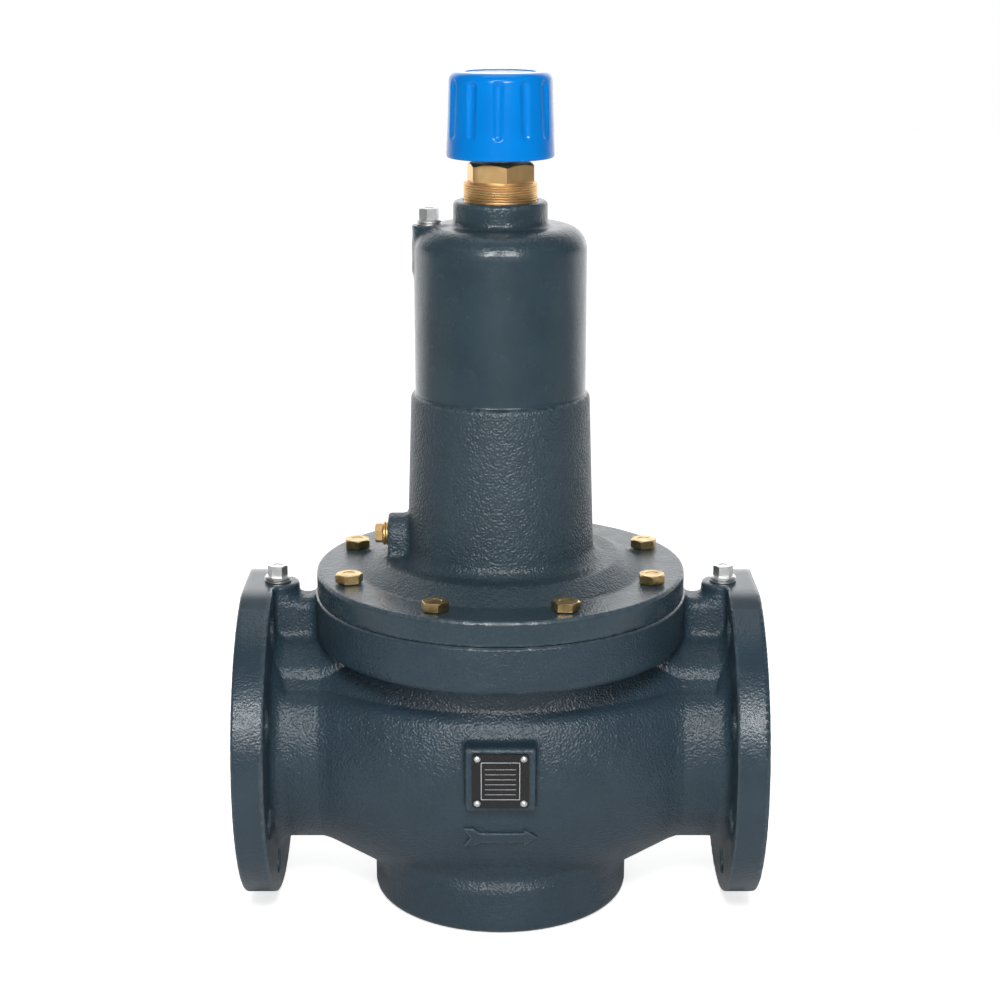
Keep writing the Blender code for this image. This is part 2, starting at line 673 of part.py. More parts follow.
def add_front(body):
    """Join the name plate pad and the raised flow arrow to the body's front."""
    low_z = AXIS_Z + PAD_RISE - PAD_HEIGHT / 2
    pad = block(
        "name_plate_pad",
        (-PAD_WIDTH / 2, -PAD_FRONT, low_z),
        (PAD_WIDTH / 2, -BARREL_RADIUS / 2 - BODY_WALL * 3, low_z + PAD_HEIGHT),
        PAD_BEVEL,
    )
    half = ARROW_LENGTH / 2
    neck_x = half - ARROW_HEAD_LENGTH
    tail_x = ARROW_TAIL_LENGTH - half
    upper = [
        (half, 0.0),
        (neck_x, ARROW_HALF_HEIGHT),
        (neck_x, ARROW_SHAFT_HALF),
        (tail_x, ARROW_SHAFT_HALF),
        (tail_x - ARROW_SHAFT_HALF, ARROW_HALF_HEIGHT),
        (-half, ARROW_HALF_HEIGHT),
        (-half + ARROW_SHAFT_HALF, 0.0),
    ]
    outline = upper + [(x, -z) for x, z in reversed(upper[1:-1])]
    place = (0.0, -BARREL_RADIUS, AXIS_Z - ARROW_DROP)
    arrow = extruded("flow_arrow", outline, BARREL_RADIUS, place)
    raised = barrel_profile(-ARROW_RELIEF, NECK_RADIUS, NECK_X, FACE_X, [])
    relief = turned("arrow_relief", raised, None, BODY_STEPS, "X")
    relief.location.z = AXIS_Z
    boolean(arrow, relief, "INTERSECT")
    join(body, pad, arrow)


def flow_cavity():
    """The space inside the body, divided by the bridge that holds the seat."""
    end_x = FACE_X + OVERRUN
    ends = [(BORE_RADIUS, end_x)]
    profile = barrel_profile(BODY_WALL, BORE_RADIUS, NECK_X + BODY_WALL, end_x, ends)
    cavity = turned("flow_cavity", profile, None, BODY_STEPS, "X")
    cavity.location.z = AXIS_Z
    pot = turned(
        "base_pot",
        [
            (0.0, AXIS_Z - BRIDGE_HALF_WIDTH / 2),
            (BASE_RADIUS - BASE_WALL, AXIS_Z - BRIDGE_HALF_WIDTH / 2),
            (BASE_RADIUS - BASE_WALL, BASE_FLOOR),
            (0.0, BASE_FLOOR),
        ],
        None,
        BODY_STEPS,
    )
    level = AXIS_Z - BRIDGE_DROP
    reach = NECK_X + OVERRUN
    centreline = [
        (-reach, AXIS_Z + SHOULDER_RADIUS),
        (-BRIDGE_HALF_WIDTH, level),
        (BRIDGE_HALF_WIDTH, level),
        (reach, AXIS_Z - SHOULDER_RADIUS),
    ]
    outline = strip_outline(centreline, BRIDGE_THICKNESS)
    bridge = extruded("bridge", outline, 2 * TOP_FLANGE_RADIUS, (0.0, 0.0, 0.0))
    hole_low = level - 2 * BRIDGE_THICKNESS
    seat_hole = rods(
        "seat_hole", [(0.0, 0.0, hole_low)], SEAT_HOLE, 4 * BRIDGE_THICKNESS, "Z", TRIM_STEPS
    )
    cut(bridge, seat_hole)
    join(cavity, pot)
    cut(cavity, bridge)
    return cavity


def valve_body():
    """The cast body with its flow passages, openings and drilled holes."""
    body = body_outside()
    add_front(body)
    flats = []
    for side in (-1, 1):
        inner_x = side * (FLANGE_BACK_X - TEST_BOSS_RADIUS - OVERRUN)
        outer_x = side * (FACE_X + OVERRUN)
        flats.append(
            block(
                f"flange_flat_{side}",
                (min(inner_x, outer_x), -PIPE_FLANGE_RADIUS, FLAT_Z),
                (max(inner_x, outer_x), PIPE_FLANGE_RADIUS, FLAT_Z + PIPE_FLANGE_RADIUS),
            )
        )
    high = AXIS_Z + BARREL_RADIUS + BODY_WALL
    opening = turned(
        "top_opening",
        [
            (0.0, high),
            (RIM_SEAT_RADIUS, high),
            (RIM_SEAT_RADIUS, RIM_Z - CLEARANCE),
            (CHAMBER_RADIUS, RIM_Z - CLEARANCE),
            (CHAMBER_RADIUS, PARTITION_Z - CLEARANCE),
            (OPENING_RADIUS, PARTITION_Z - CLEARANCE),
            (OPENING_RADIUS, AXIS_Z + BORE_RADIUS),
            (0.0, AXIS_Z + BORE_RADIUS),
        ],
        None,
        BODY_STEPS,
    )
    hole_places = []
    for x in (-FACE_X - OVERRUN, FLANGE_BACK_X - OVERRUN):
        for i in range(PIPE_BOLT_COUNT):
            angle = 2 * math.pi * (i + 0.5) / PIPE_BOLT_COUNT
            up = PIPE_BOLT_CIRCLE * math.cos(angle)
            hole_places.append((x, PIPE_BOLT_CIRCLE * math.sin(angle), AXIS_Z + up))
    hole_length = RAISED_FACE_HEIGHT + PIPE_FLANGE_THICKNESS + 2 * OVERRUN
    pipe_holes = rods("pipe_bolt_holes", hole_places, PIPE_BOLT_HOLE, hole_length, "X", 12)
    phase = math.pi / BONNET_BOLT_COUNT
    depth = BONNET_BOLT_LENGTH - BONNET_FLANGE_THICKNESS + OVERRUN
    tapped_places = around(BONNET_BOLT_COUNT, BONNET_BOLT_CIRCLE, TOP_FACE_Z - depth, phase)
    tapped = rods("tapped_holes", tapped_places, BONNET_BOLT_HOLE, depth + OVERRUN, "Z", 10)
    cut(body, *flats, flow_cavity(), opening, pipe_holes, tapped)
    thread_low = FLAT_Z - PLUG_SHANK - OVERRUN
    test_profile = [
        (0.0, FLAT_Z + OVERRUN),
        (TEST_PLUG_RADIUS + CLEARANCE, FLAT_Z + OVERRUN),
        (TEST_PLUG_RADIUS + CLEARANCE, thread_low),
        (DRILLING_RADIUS, thread_low),
        (DRILLING_RADIUS, AXIS_Z + BORE_RADIUS - OVERRUN),
        (0.0, AXIS_Z + BORE_RADIUS - OVERRUN),
    ]
    for side in (-1, 1):
        drilling = turned(f"test_drilling_{side}", test_profile, None, 10)
        drilling.location.x = side * TEST_X
        cut(body, drilling)
    shank = RIVET_SHANK_RADIUS + CLEARANCE
    rivet_holes = [(x, -PAD_FRONT - OVERRUN, z) for x, z in rivet_places()]
    holes = rods("rivet_holes", [(0.0, 0.0, 0.0)], shank, RIVET_LENGTH + OVERRUN, "Z", 8)
    TOOLS.objects.unlink(holes)
    for i, place in enumerate(rivet_holes):
        hole = bpy.data.objects.new(f"rivet_hole_{i + 1}", holes.data)
        TOOLS.objects.link(hole)
        hole.hide_render = True
        hole.display_type = "WIRE"
        hole.location = place
        hole.rotation_euler = (-math.pi / 2, 0.0, 0.0)
        cut(body, hole)
    bpy.data.objects.remove(holes, do_unlink=True)
    settle(body)


def rivet_places():
    """Where the rivets stand on the name plate, as (x, z)."""
    across = PLATE_WIDTH / 2 - RIVET_INSET
    up = PLATE_HEIGHT / 2 - RIVET_INSET
    middle = AXIS_Z + PAD_RISE
    return [(x * across, middle + z * up) for z in (1, -1) for x in (-1, 1)]


def name_plate():
    """A bare plate on the pad, held by four rivets."""
    corner = PLATE_CORNER
    outline = []
    for x, z, start in ((1, 1, 0), (-1, 1, 90), (-1, -1, 180), (1, -1, 270)):
        centre = (x * (PLATE_WIDTH / 2 - corner), z * (PLATE_HEIGHT / 2 - corner))
        outline += arc(centre, corner, start, start + 90, 3)
    back = -PAD_FRONT - CLEARANCE
    place = (0.0, back - PLATE_THICKNESS / 2, AXIS_Z + PAD_RISE)
    plate = extruded("name_plate", outline, PLATE_THICKNESS, place, BLACK_PLATE)
    shank = RIVET_SHANK_RADIUS
    head_z = PLATE_THICKNESS + 2 * CLEARANCE
    rise = RIVET_HEAD_HEIGHT
    ball = (RIVET_HEAD_RADIUS**2 + rise**2) / (2 * rise)
    spread = math.degrees(math.asin(RIVET_HEAD_RADIUS / ball))
    dome = arc((0.0, head_z + rise - ball), ball, 90, 90 - spread, 3)
    dome[0] = (0.0, head_z + rise)
    low = head_z - RIVET_LENGTH
    profile = [*dome, (shank, head_z), (shank, low), (0.0, low)]
    first = settle(turned("rivet_1", profile, ZINC, 12))
    for i, (x, z) in enumerate(rivet_places()):
        rivet = first if i == 0 else copy_to(first, f"rivet_{i + 1}", (0.0, 0.0, 0.0))
        rivet.location = (x, -PAD_FRONT, z)
        rivet.rotation_euler = (math.pi / 2, 0.0, 0.0)
        hole = bpy.data.objects.get(f"rivet_hole_{i + 1}")
        cut(plate, hole)
    settle(plate)


def bonnet():
    """The cast bonnet: diaphragm cover, spring column, neck and two bosses."""
    cone_z = BONNET_TOP_Z + BONNET_CONE_HEIGHT
    foot = arc(
        (COLUMN_FOOT_RADIUS + COLUMN_FOOT_FILLET, cone_z + COLUMN_FOOT_FILLET),
        COLUMN_FOOT_FILLET,
        180,
        270,
        3,
    )
    shoulder = arc(
        (COLUMN_RADIUS - COLUMN_SHOULDER, COLUMN_TOP_Z - COLUMN_SHOULDER), COLUMN_SHOULDER, 90, 0, 4
    )
    neck = arc(
        (COLUMN_NECK_RADIUS + COLUMN_NECK_FILLET, COLUMN_TOP_Z + COLUMN_NECK_FILLET),
        COLUMN_NECK_FILLET,
        180,
        270,
        2,
    )
    edge = BONNET_EDGE_ROUND
    lip = COLUMN_STEP_ROUND
    profile = [
        (0.0, NECK_TOP_Z),
        (COLUMN_NECK_RADIUS - edge, NECK_TOP_Z),
        (COLUMN_NECK_RADIUS, NECK_TOP_Z - edge),
        *neck,
        *shoulder,
        (COLUMN_RADIUS, COLUMN_STEP_Z),
        (COLUMN_STEP_RADIUS - lip / 2, COLUMN_STEP_Z),
        (COLUMN_STEP_RADIUS, COLUMN_STEP_Z - lip),
        *foot,
        (BONNET_CONE_HEAD, cone_z),
        (BONNET_CONE_FOOT, BONNET_TOP_Z),
        (BONNET_FLANGE_RADIUS - edge, BONNET_TOP_Z),
        (BONNET_FLANGE_RADIUS, BONNET_TOP_Z - edge),
        (BONNET_FLANGE_RADIUS, BONNET_FACE_Z),
        (0.0, BONNET_FACE_Z),
    ]
    cover = turned("bonnet", profile, CAST, BODY_STEPS)
    bleed_z = BONNET_TOP_Z + BLEED_RISE
    crown = arc((0.0, bleed_z), BLEED_BOSS_HALF, 0, 180, 6)
    low = BONNET_TOP_Z - BONNET_FLANGE_THICKNESS / 2
    outline = [*crown, (-BLEED_BOSS_HALF, low), (BLEED_BOSS_HALF, low)]
    reach = BLEED_BOSS_REACH - COLUMN_BORE
    place = (0.0, (BLEED_BOSS_REACH + COLUMN_BORE) / 2, 0.0)
    boss = extruded("bleed_boss", outline, reach, place)
    boss.rotation_euler = (0.0, 0.0, math.pi / 2)
    vent = vent_boss()
    join(cover, boss, vent)
    gland = GLAND_RADIUS + CLEARANCE
    groove = COLUMN_BORE + RETAINING_GROOVE
    chamfer = COLUMN_WALL
    bore = turned(
        "spring_bore",
        [
            (0.0, NECK_TOP_Z + OVERRUN),
            (gland, NECK_TOP_Z + OVERRUN),
            (gland, COLUMN_ROOF_Z),
            (COLUMN_BORE - chamfer, COLUMN_ROOF_Z),
            (COLUMN_BORE, COLUMN_ROOF_Z - chamfer),
            (COLUMN_BORE, SPRING_SEAT_Z),
            (groove, SPRING_SEAT_Z),
            (groove, RETAINING_RING_Z - CLEARANCE),
            (COLUMN_BORE, RETAINING_RING_Z - CLEARANCE),
            (COLUMN_BORE, ROOF_Z),
            (DIAPHRAGM_PLATE_RADIUS + DIAPHRAGM_RIM, ROOF_Z),
            (CHAMBER_RADIUS, BONNET_FACE_Z + DIAPHRAGM_THICKNESS * 2),
            (CHAMBER_RADIUS, BONNET_FACE_Z - OVERRUN),
            (0.0, BONNET_FACE_Z - OVERRUN),
        ],
        None,
        BODY_STEPS,
    )
    rib_low = SPRING_SEAT_TOP_Z + SPRING_PLATE_HUB_HEIGHT
    for side in (-1, 1):
        near = side * (COLUMN_BORE - GUIDE_RIB_DEPTH)
        far = side * (COLUMN_BORE + OVERRUN)
        rib = block(
            f"guide_rib_{side}",
            (-GUIDE_RIB_WIDTH / 2, min(near, far), rib_low),
            (GUIDE_RIB_WIDTH / 2, max(near, far), COLUMN_ROOF_Z + OVERRUN),
        )
        cut(bore, rib)
    phase = math.pi / BONNET_BOLT_COUNT
    low_z = BONNET_FACE_Z - OVERRUN
    high = BONNET_FLANGE_THICKNESS + BONNET_CONE_HEIGHT + 2 * OVERRUN
    places = around(BONNET_BOLT_COUNT, BONNET_BOLT_CIRCLE, low_z, phase)
    holes = rods("bonnet_bolt_holes", places, BONNET_BOLT_HOLE, high, "Z", 10)
    vent_hole = rods(
        "vent_hole",
        [(-VENT_OFFSET, 0.0, COLUMN_ROOF_Z - COLUMN_SHOULDER)],
        VENT_PLUG_RADIUS + CLEARANCE,
        COLUMN_ROOF + COLUMN_SHOULDER + OVERRUN,
    )
    bleed_hole = rods(
        "bleed_hole",
        [(-BLEED_BOSS_REACH - OVERRUN, 0.0, bleed_z)],
        BLEED_PLUG_RADIUS + CLEARANCE,
        BLEED_BOSS_REACH + OVERRUN - COLUMN_BORE / 2,
        "X",
    )
    cut(cover, bore, holes, vent_hole, bleed_hole)
    settle(cover)


def vent_boss():
    """The tapered boss on the column's shoulder that carries the vent plug."""
    mesh = bpy.data.meshes.new("vent_boss")
    shape = bmesh.new()
    middle = (-VENT_OFFSET, 0.0, COLUMN_TOP_Z - VENT_BOSS_HEIGHT / 2)
    bmesh.ops.create_cone(
        shape,
        cap_ends=True,
        segments=SMALL_STEPS,
        radius1=VENT_BOSS_RADIUS - VENT_BOSS_TAPER,
        radius2=VENT_BOSS_RADIUS,
        depth=VENT_BOSS_HEIGHT,
        matrix=Matrix.Translation(middle),
    )
    shape.to_mesh(mesh)
    shape.free()
    return add_object("vent_boss", mesh, None)


def bonnet_bolts():
    """Hexagon bolts that hold the bonnet on the body."""
    flats = BONNET_BOLT_FLATS
    bolt = hexagon("bonnet_bolt_1", flats, BONNET_BOLT_HEAD, CLEARANCE, 0.0, GOLD_ZINC)
    low = (0.0, 0.0, CLEARANCE - BONNET_BOLT_LENGTH)
    length = BONNET_BOLT_LENGTH + BONNET_BOLT_HEAD / 2
    shank = rods("bonnet_bolt_shank", [low], BONNET_BOLT_RADIUS, length, "Z", 10)
    join(bolt, shank)
    settle(bolt)
    phase = math.pi / BONNET_BOLT_COUNT
    places = around(BONNET_BOLT_COUNT, BONNET_BOLT_CIRCLE, BONNET_TOP_Z, phase)
    for i, place in enumerate(places):
        if i == 0:
            bolt.location = place
        else:
            copy_to(bolt, f"bonnet_bolt_{i + 1}", place, math.radians(23 * i))


def screw_plug(name, shank_radius, hex_height, material):
    """A collared hexagon plug that stands on its seal washer."""
    low = WASHER_THICKNESS + 2 * CLEARANCE
    collar = shank_radius + PLUG_COLLAR_LIP
    profile = [
        (0.0, low + PLUG_COLLAR),
        (collar - PLUG_COLLAR / 2, low + PLUG_COLLAR),
        (collar, low + PLUG_COLLAR / 2),
        (collar, low),
        (shank_radius, low),
        (shank_radius, low - PLUG_SHANK),
        (0.0, low - PLUG_SHANK),
    ]
    plug = turned(name, profile, material, SMALL_STEPS)
    head_low = low + PLUG_COLLAR / 2
    head = hexagon(f"{name}_head", PLUG_FLATS, hex_height + PLUG_COLLAR / 2, head_low)
    join(plug, head)
    return settle(plug)


def seal_washer(name, shank_radius, material):
    """The washer under a screw plug."""
    inner = shank_radius + CLEARANCE
    outer = shank_radius + WASHER_LIP
    profile = ring(inner, outer, CLEARANCE, CLEARANCE + WASHER_THICKNESS)
    return settle(turned(name, profile, material, SMALL_STEPS))


def plugs():
    """Test plugs on the flanges, the vent plug and the bleed plug, each on its washer."""
    plug = screw_plug("inlet_test_plug", TEST_PLUG_RADIUS, PLUG_HEX_HEIGHT, ZINC)
    washer = seal_washer("inlet_test_washer", TEST_PLUG_RADIUS, ZINC)
    for obj in (plug, washer):
        obj.location = (-TEST_X, 0.0, FLAT_Z)
    copy_to(plug, "outlet_test_plug", (TEST_X, 0.0, FLAT_Z))
    copy_to(washer, "outlet_test_washer", (TEST_X, 0.0, FLAT_Z))
    vent = screw_plug("vent_plug", VENT_PLUG_RADIUS, PLUG_HEX_HEIGHT, ZINC)
    vent_washer = seal_washer("vent_washer", VENT_PLUG_RADIUS, ZINC)
    for obj in (vent, vent_washer):
        obj.location = (-VENT_OFFSET, 0.0, COLUMN_TOP_Z)
    bleed = screw_plug("bleed_plug", BLEED_PLUG_RADIUS, BLEED_HEX_HEIGHT, BRASS)
    bleed_washer = seal_washer("bleed_washer", BLEED_PLUG_RADIUS, BRASS)
    for obj in (bleed, bleed_washer):
        obj.location = (-BLEED_BOSS_REACH, 0.0, BONNET_TOP_Z + BLEED_RISE)
        obj.rotation_euler = (0.0, -math.pi / 2, 0.0)


def o_ring(name, mean_radius, height):
    """A rubber ring about the stem axis."""
    section = arc((mean_radius, height), RING_SECTION, 90, -225, 7)
    settle(turned(name, section, RUBBER, TRIM_STEPS))


def seat():
    """The seat ring in the bridge."""
    lip = SEAT_BORE + SEAT_LIP_WIDTH
    flange = SEAT_OUTER + SEAT_FLANGE_LIP
    flange_top = SEAT_FLANGE_Z + SEAT_FLANGE_THICKNESS
    low = SEAT_FLANGE_Z - SEAT_SKIRT
    profile = [
        (SEAT_BORE, SEAT_LIP_Z),
        (lip, SEAT_LIP_Z),
        (lip, flange_top),
        (flange, flange_top),
        (flange, SEAT_FLANGE_Z),
        (SEAT_OUTER, SEAT_FLANGE_Z),
        (SEAT_OUTER, low),
        (SEAT_BORE, low),
    ]
    settle(turned("seat_ring", profile, STEEL))


def closing_parts():
    """Cone with its seal, retainer and nut, the piston ring and the stem."""
    groove_floor = PISTON_RADIUS - 2 * RING_SECTION
    groove_high = CONE_TOP_Z - 3 * RING_SECTION
    groove_low = groove_high - 2 * RING_SECTION - 2 * CLEARANCE
    profile = [
        (STEM_HOLE, CONE_HUB_Z),
        (CONE_HUB_RADIUS, CONE_HUB_Z),
        (CONE_HUB_RADIUS, CONE_DISC_TOP_Z),
        (PISTON_RADIUS - CONE_PISTON_WALL, CONE_DISC_TOP_Z),
        (PISTON_RADIUS - CONE_PISTON_WALL, CONE_TOP_Z),
        (PISTON_RADIUS, CONE_TOP_Z),
        (PISTON_RADIUS, groove_high),
        (groove_floor, groove_high),
        (groove_floor, groove_low),
        (PISTON_RADIUS, groove_low),
        (PISTON_RADIUS, CONE_DISC_TOP_Z),
        (CONE_RADIUS, CONE_DISC_TOP_Z - CONE_RIM_WIDTH),
        (CONE_RADIUS, CONE_RIM_Z),
        (CONE_RECESS, CONE_RIM_Z),
        (CONE_RECESS, CONE_FACE_Z),
        (STEM_HOLE, CONE_FACE_Z),
    ]
    cone = turned("valve_cone", profile, STEEL)
    retainer_profile = ring(STEM_HOLE, RETAINER_RADIUS, RETAINER_Z, RETAINER_Z + RETAINER_THICKNESS)
    retainer = turned("seal_retainer", retainer_profile, STEEL)
    places = around(BALANCE_HOLE_COUNT, BALANCE_HOLE_CIRCLE, CONE_NUT_Z, 0.0)
    length = CONE_DISC_TOP_Z - CONE_NUT_Z + OVERRUN
    holes = rods("balance_holes", places, BALANCE_HOLE, length, "Z", 8)
    cut(cone, holes)
    cut(retainer, holes)
    settle(cone)
    settle(retainer)
    seal = ring(SEAL_HOLE, SEAL_RADIUS, SEAL_Z, SEAL_Z + SEAL_THICKNESS)
    settle(turned("cone_seal", seal, RUBBER))
    mean = groove_floor + CLEARANCE + RING_SECTION
    o_ring("piston_ring", mean, (groove_high + groove_low) / 2)
    nut("cone_nut", NUT_FLATS, NUT_HEIGHT, CONE_NUT_Z, STEM_HOLE)
    shoulder_z = LOWER_PLATE_Z - CLEARANCE
    collar_z = CONE_HUB_Z + CLEARANCE
    stem = [
        (0.0, STEM_TOP_Z),
        (STEM_TOP_RADIUS, STEM_TOP_Z),
        (STEM_TOP_RADIUS, shoulder_z),
        (STEM_RADIUS, shoulder_z),
        (STEM_RADIUS, collar_z + STEM_COLLAR_HEIGHT),
        (STEM_COLLAR, collar_z + STEM_COLLAR_HEIGHT),
        (STEM_COLLAR, collar_z),
        (STEM_RADIUS, collar_z),
        (STEM_RADIUS, STEM_FOOT_Z),
        (0.0, STEM_FOOT_Z),
    ]
    settle(turned("valve_stem", stem, STEEL, SMALL_STEPS))


def nut(name, flats, height, low, hole, material=STEEL):
    """A hexagon nut on the stem axis."""
    piece = hexagon(name, flats, height, low, 0.0, material)
    bore_low = (0.0, 0.0, low - OVERRUN)
    cut(piece, rods(f"{name}_hole", [bore_low], hole, height + 2 * OVERRUN, "Z", SMALL_STEPS))
    settle(piece)


def partition():
    """Partition plate with its balance cylinder, guide bush and stem ring."""
    hub_z = PARTITION_Z - PARTITION_HUB_HEIGHT
    bush_hole = BUSH_RADIUS + CLEARANCE
    pocket_z = PARTITION_TOP_Z - STEM_RING_POCKET
    pocket = STEM_HOLE + 2 * RING_SECTION + CLEARANCE
    outer = CYLINDER_BORE + CYLINDER_WALL
    low = PARTITION_Z - CYLINDER_HEIGHT
    profile = [
        (pocket, PARTITION_TOP_Z),
        (PARTITION_RADIUS, PARTITION_TOP_Z),
        (PARTITION_RADIUS, PARTITION_Z),
        (outer, PARTITION_Z),
        (outer, low),
        (CYLINDER_BORE, low),
        (CYLINDER_BORE, PARTITION_Z),
        (PARTITION_HUB_RADIUS, PARTITION_Z),
        (PARTITION_HUB_RADIUS, hub_z),
        (bush_hole, hub_z),
        (bush_hole, pocket_z),
        (pocket, pocket_z),
    ]
    settle(turned("partition_plate", profile, STEEL, BODY_STEPS))
    bush_top = pocket_z - CLEARANCE
    bush = ring(STEM_HOLE, BUSH_RADIUS, hub_z, bush_top)
    settle(turned("guide_bush", bush, BRASS, SMALL_STEPS))
    mean = STEM_HOLE + RING_SECTION
    o_ring("stem_o_ring", mean, bush_top + CLEARANCE + RING_SECTION)


def diaphragm_parts():
    """Rolling diaphragm, clamped at its rim and between two plates on the stem."""
    thick = DIAPHRAGM_THICKNESS
    top = DIAPHRAGM_Z + thick
    hole = STEM_TOP_HOLE
    roll_in = DIAPHRAGM_PLATE_RADIUS + thick
    roll_out = CHAMBER_RADIUS - 3 * thick
    middle = (roll_in + roll_out) / 2 - thick
    hang = (CHAMBER_RADIUS - thick / 2, TOP_FACE_Z)
    fall = (top + RIM_Z) / 2
    profile = [
        (hole, top),
        (roll_in, top),
        ((roll_in + middle) / 2, top + DIAPHRAGM_ROLL),
        (middle, top + DIAPHRAGM_ROLL / 2),
        (roll_out, fall),
        hang,
        (RIM_RADIUS, TOP_FACE_Z),
        (RIM_RADIUS, RIM_Z),
        (hang[0] - thick, RIM_Z),
        (roll_out - thick, fall - thick / 2),
        (middle - thick / 2, top + DIAPHRAGM_ROLL / 2 - thick),
        ((roll_in + middle) / 2, top + DIAPHRAGM_ROLL - thick),
        (roll_in + thick / 4, DIAPHRAGM_Z),
        (hole, DIAPHRAGM_Z),
    ]
    settle(turned("diaphragm", profile, RUBBER))
    radius = DIAPHRAGM_PLATE_RADIUS
    lower = ring(hole, radius, LOWER_PLATE_Z, LOWER_PLATE_Z + LOWER_PLATE_THICKNESS)
    settle(turned("lower_diaphragm_plate", lower, STEEL))
    upper = ring(hole, radius, UPPER_PLATE_Z, UPPER_PLATE_TOP_Z)
    settle(turned("upper_diaphragm_plate", upper, STEEL))
    nut("diaphragm_nut", NUT_FLATS, NUT_HEIGHT, DIAPHRAGM_NUT_Z, hole)


def spring_points():
    """Points along the spring's wire, with a close turn at each end."""
    low = SPRING_Z + SPRING_WIRE_RADIUS
    high = SPRING_TOP_Z - SPRING_WIRE_RADIUS
    pitch = (high - low - 2 * SPRING_END_PITCH) / (SPRING_TURNS - 2)
    points = []
    for i in range(SPRING_TURNS * SPRING_POINTS_PER_TURN + 1):
        turn = i / SPRING_POINTS_PER_TURN
        height = low + SPRING_END_PITCH * min(turn, 1.0)
        height += pitch * min(max(turn - 1.0, 0.0), SPRING_TURNS - 2)
        height += SPRING_END_PITCH * max(turn - SPRING_TURNS + 1, 0.0)
        angle = 2 * math.pi * turn
        across = SPRING_MEAN_RADIUS * math.cos(angle)
        points.append(Vector((across, SPRING_MEAN_RADIUS * math.sin(angle), height)))
    return points


def reference_spring():
    """The coil spring as one unbroken wire."""
    points = spring_points()
    curve = bpy.data.curves.new("reference_spring", "CURVE")
    curve.dimensions = "3D"
    curve.bevel_depth = SPRING_WIRE_RADIUS
    curve.bevel_resolution = 1
    curve.use_fill_caps = True
    spline = curve.splines.new("POLY")
    spline.points.add(len(points) - 1)
    for target, point in zip(spline.points, points):
        target.co = (*point, 1.0)
    drawn = bpy.data.objects.new("reference_spring_wire", curve)
    TOOLS.objects.link(drawn)
    mesh = welded_mesh(drawn)
    bpy.data.objects.remove(drawn, do_unlink=True)
    settle(add_object("reference_spring", mesh, SPRING_STEEL))
    apart = SPRING_POINTS_PER_TURN // 2
    nearest = min(
        (points[i] - points[j]).length
        for i in range(len(points))
        for j in range(i + apart, len(points))
    )
    print(f"reference_spring least gap {1000 * (nearest - 2 * SPRING_WIRE_RADIUS):.2f} mm")


def spring_seats():
    """Fixed lower spring seat with its retaining ring, and the spring plate above."""
    collar = SPRING_MEAN_RADIUS - SPRING_WIRE_RADIUS - SPRING_COLLAR_GAP
    seat_radius = COLUMN_BORE - CLEARANCE
    profile = [
        (SPRING_SEAT_HOLE, SPRING_SEAT_TOP_Z + SPRING_COLLAR_HEIGHT),
        (collar, SPRING_SEAT_TOP_Z + SPRING_COLLAR_HEIGHT),
        (collar, SPRING_SEAT_TOP_Z),
        (seat_radius, SPRING_SEAT_TOP_Z),
        (seat_radius, SPRING_SEAT_Z),
        (SPRING_SEAT_HOLE, SPRING_SEAT_Z),
    ]
    settle(turned("lower_spring_seat", profile, STEEL, BODY_STEPS))
    outer = COLUMN_BORE + RETAINING_GROOVE - CLEARANCE
    ring_high = RETAINING_RING_Z + RETAINING_RING_THICKNESS
    circlip_profile = ring(outer - RETAINING_RING_WIDTH, outer, RETAINING_RING_Z, ring_high)
    circlip = turned("retaining_ring", circlip_profile, SPRING_STEEL, BODY_STEPS)
    half = RETAINING_RING_GAP / 2
    gap = block("retaining_gap", (-half, 0.0, RETAINING_RING_Z - half), (half, outer + half, ring_high + half))
    cut(circlip, gap)
    settle(circlip)
    bore = SETTING_RADIUS + CLEARANCE
    low = SPRING_PLATE_Z - SPRING_COLLAR_HEIGHT
    edge = COLUMN_BORE - SPRING_PLATE_EDGE_GAP
    plate_profile = [
        (bore, SPRING_HUB_TOP_Z),
        (SPRING_PLATE_HUB_RADIUS, SPRING_HUB_TOP_Z),
        (SPRING_PLATE_HUB_RADIUS, SPRING_PLATE_TOP_Z),
        (edge, SPRING_PLATE_TOP_Z),
        (edge, SPRING_PLATE_Z),
        (collar, SPRING_PLATE_Z),
        (collar, low),
        (bore, low),
    ]
    plate = turned("spring_plate", plate_profile, STEEL, BODY_STEPS)
    notch = GUIDE_RIB_WIDTH / 2 + RIB_SIDE_GAP
    for side in (-1, 1):
        near = side * (COLUMN_BORE - GUIDE_RIB_DEPTH - RIB_SIDE_GAP)
        far = side * (COLUMN_BORE + OVERRUN)
        slot = block(
            f"spring_plate_notch_{side}",
            (-notch, min(near, far), low - OVERRUN),
            (notch, max(near, far), SPRING_HUB_TOP_Z),
        )
        cut(plate, slot)
    settle(plate)


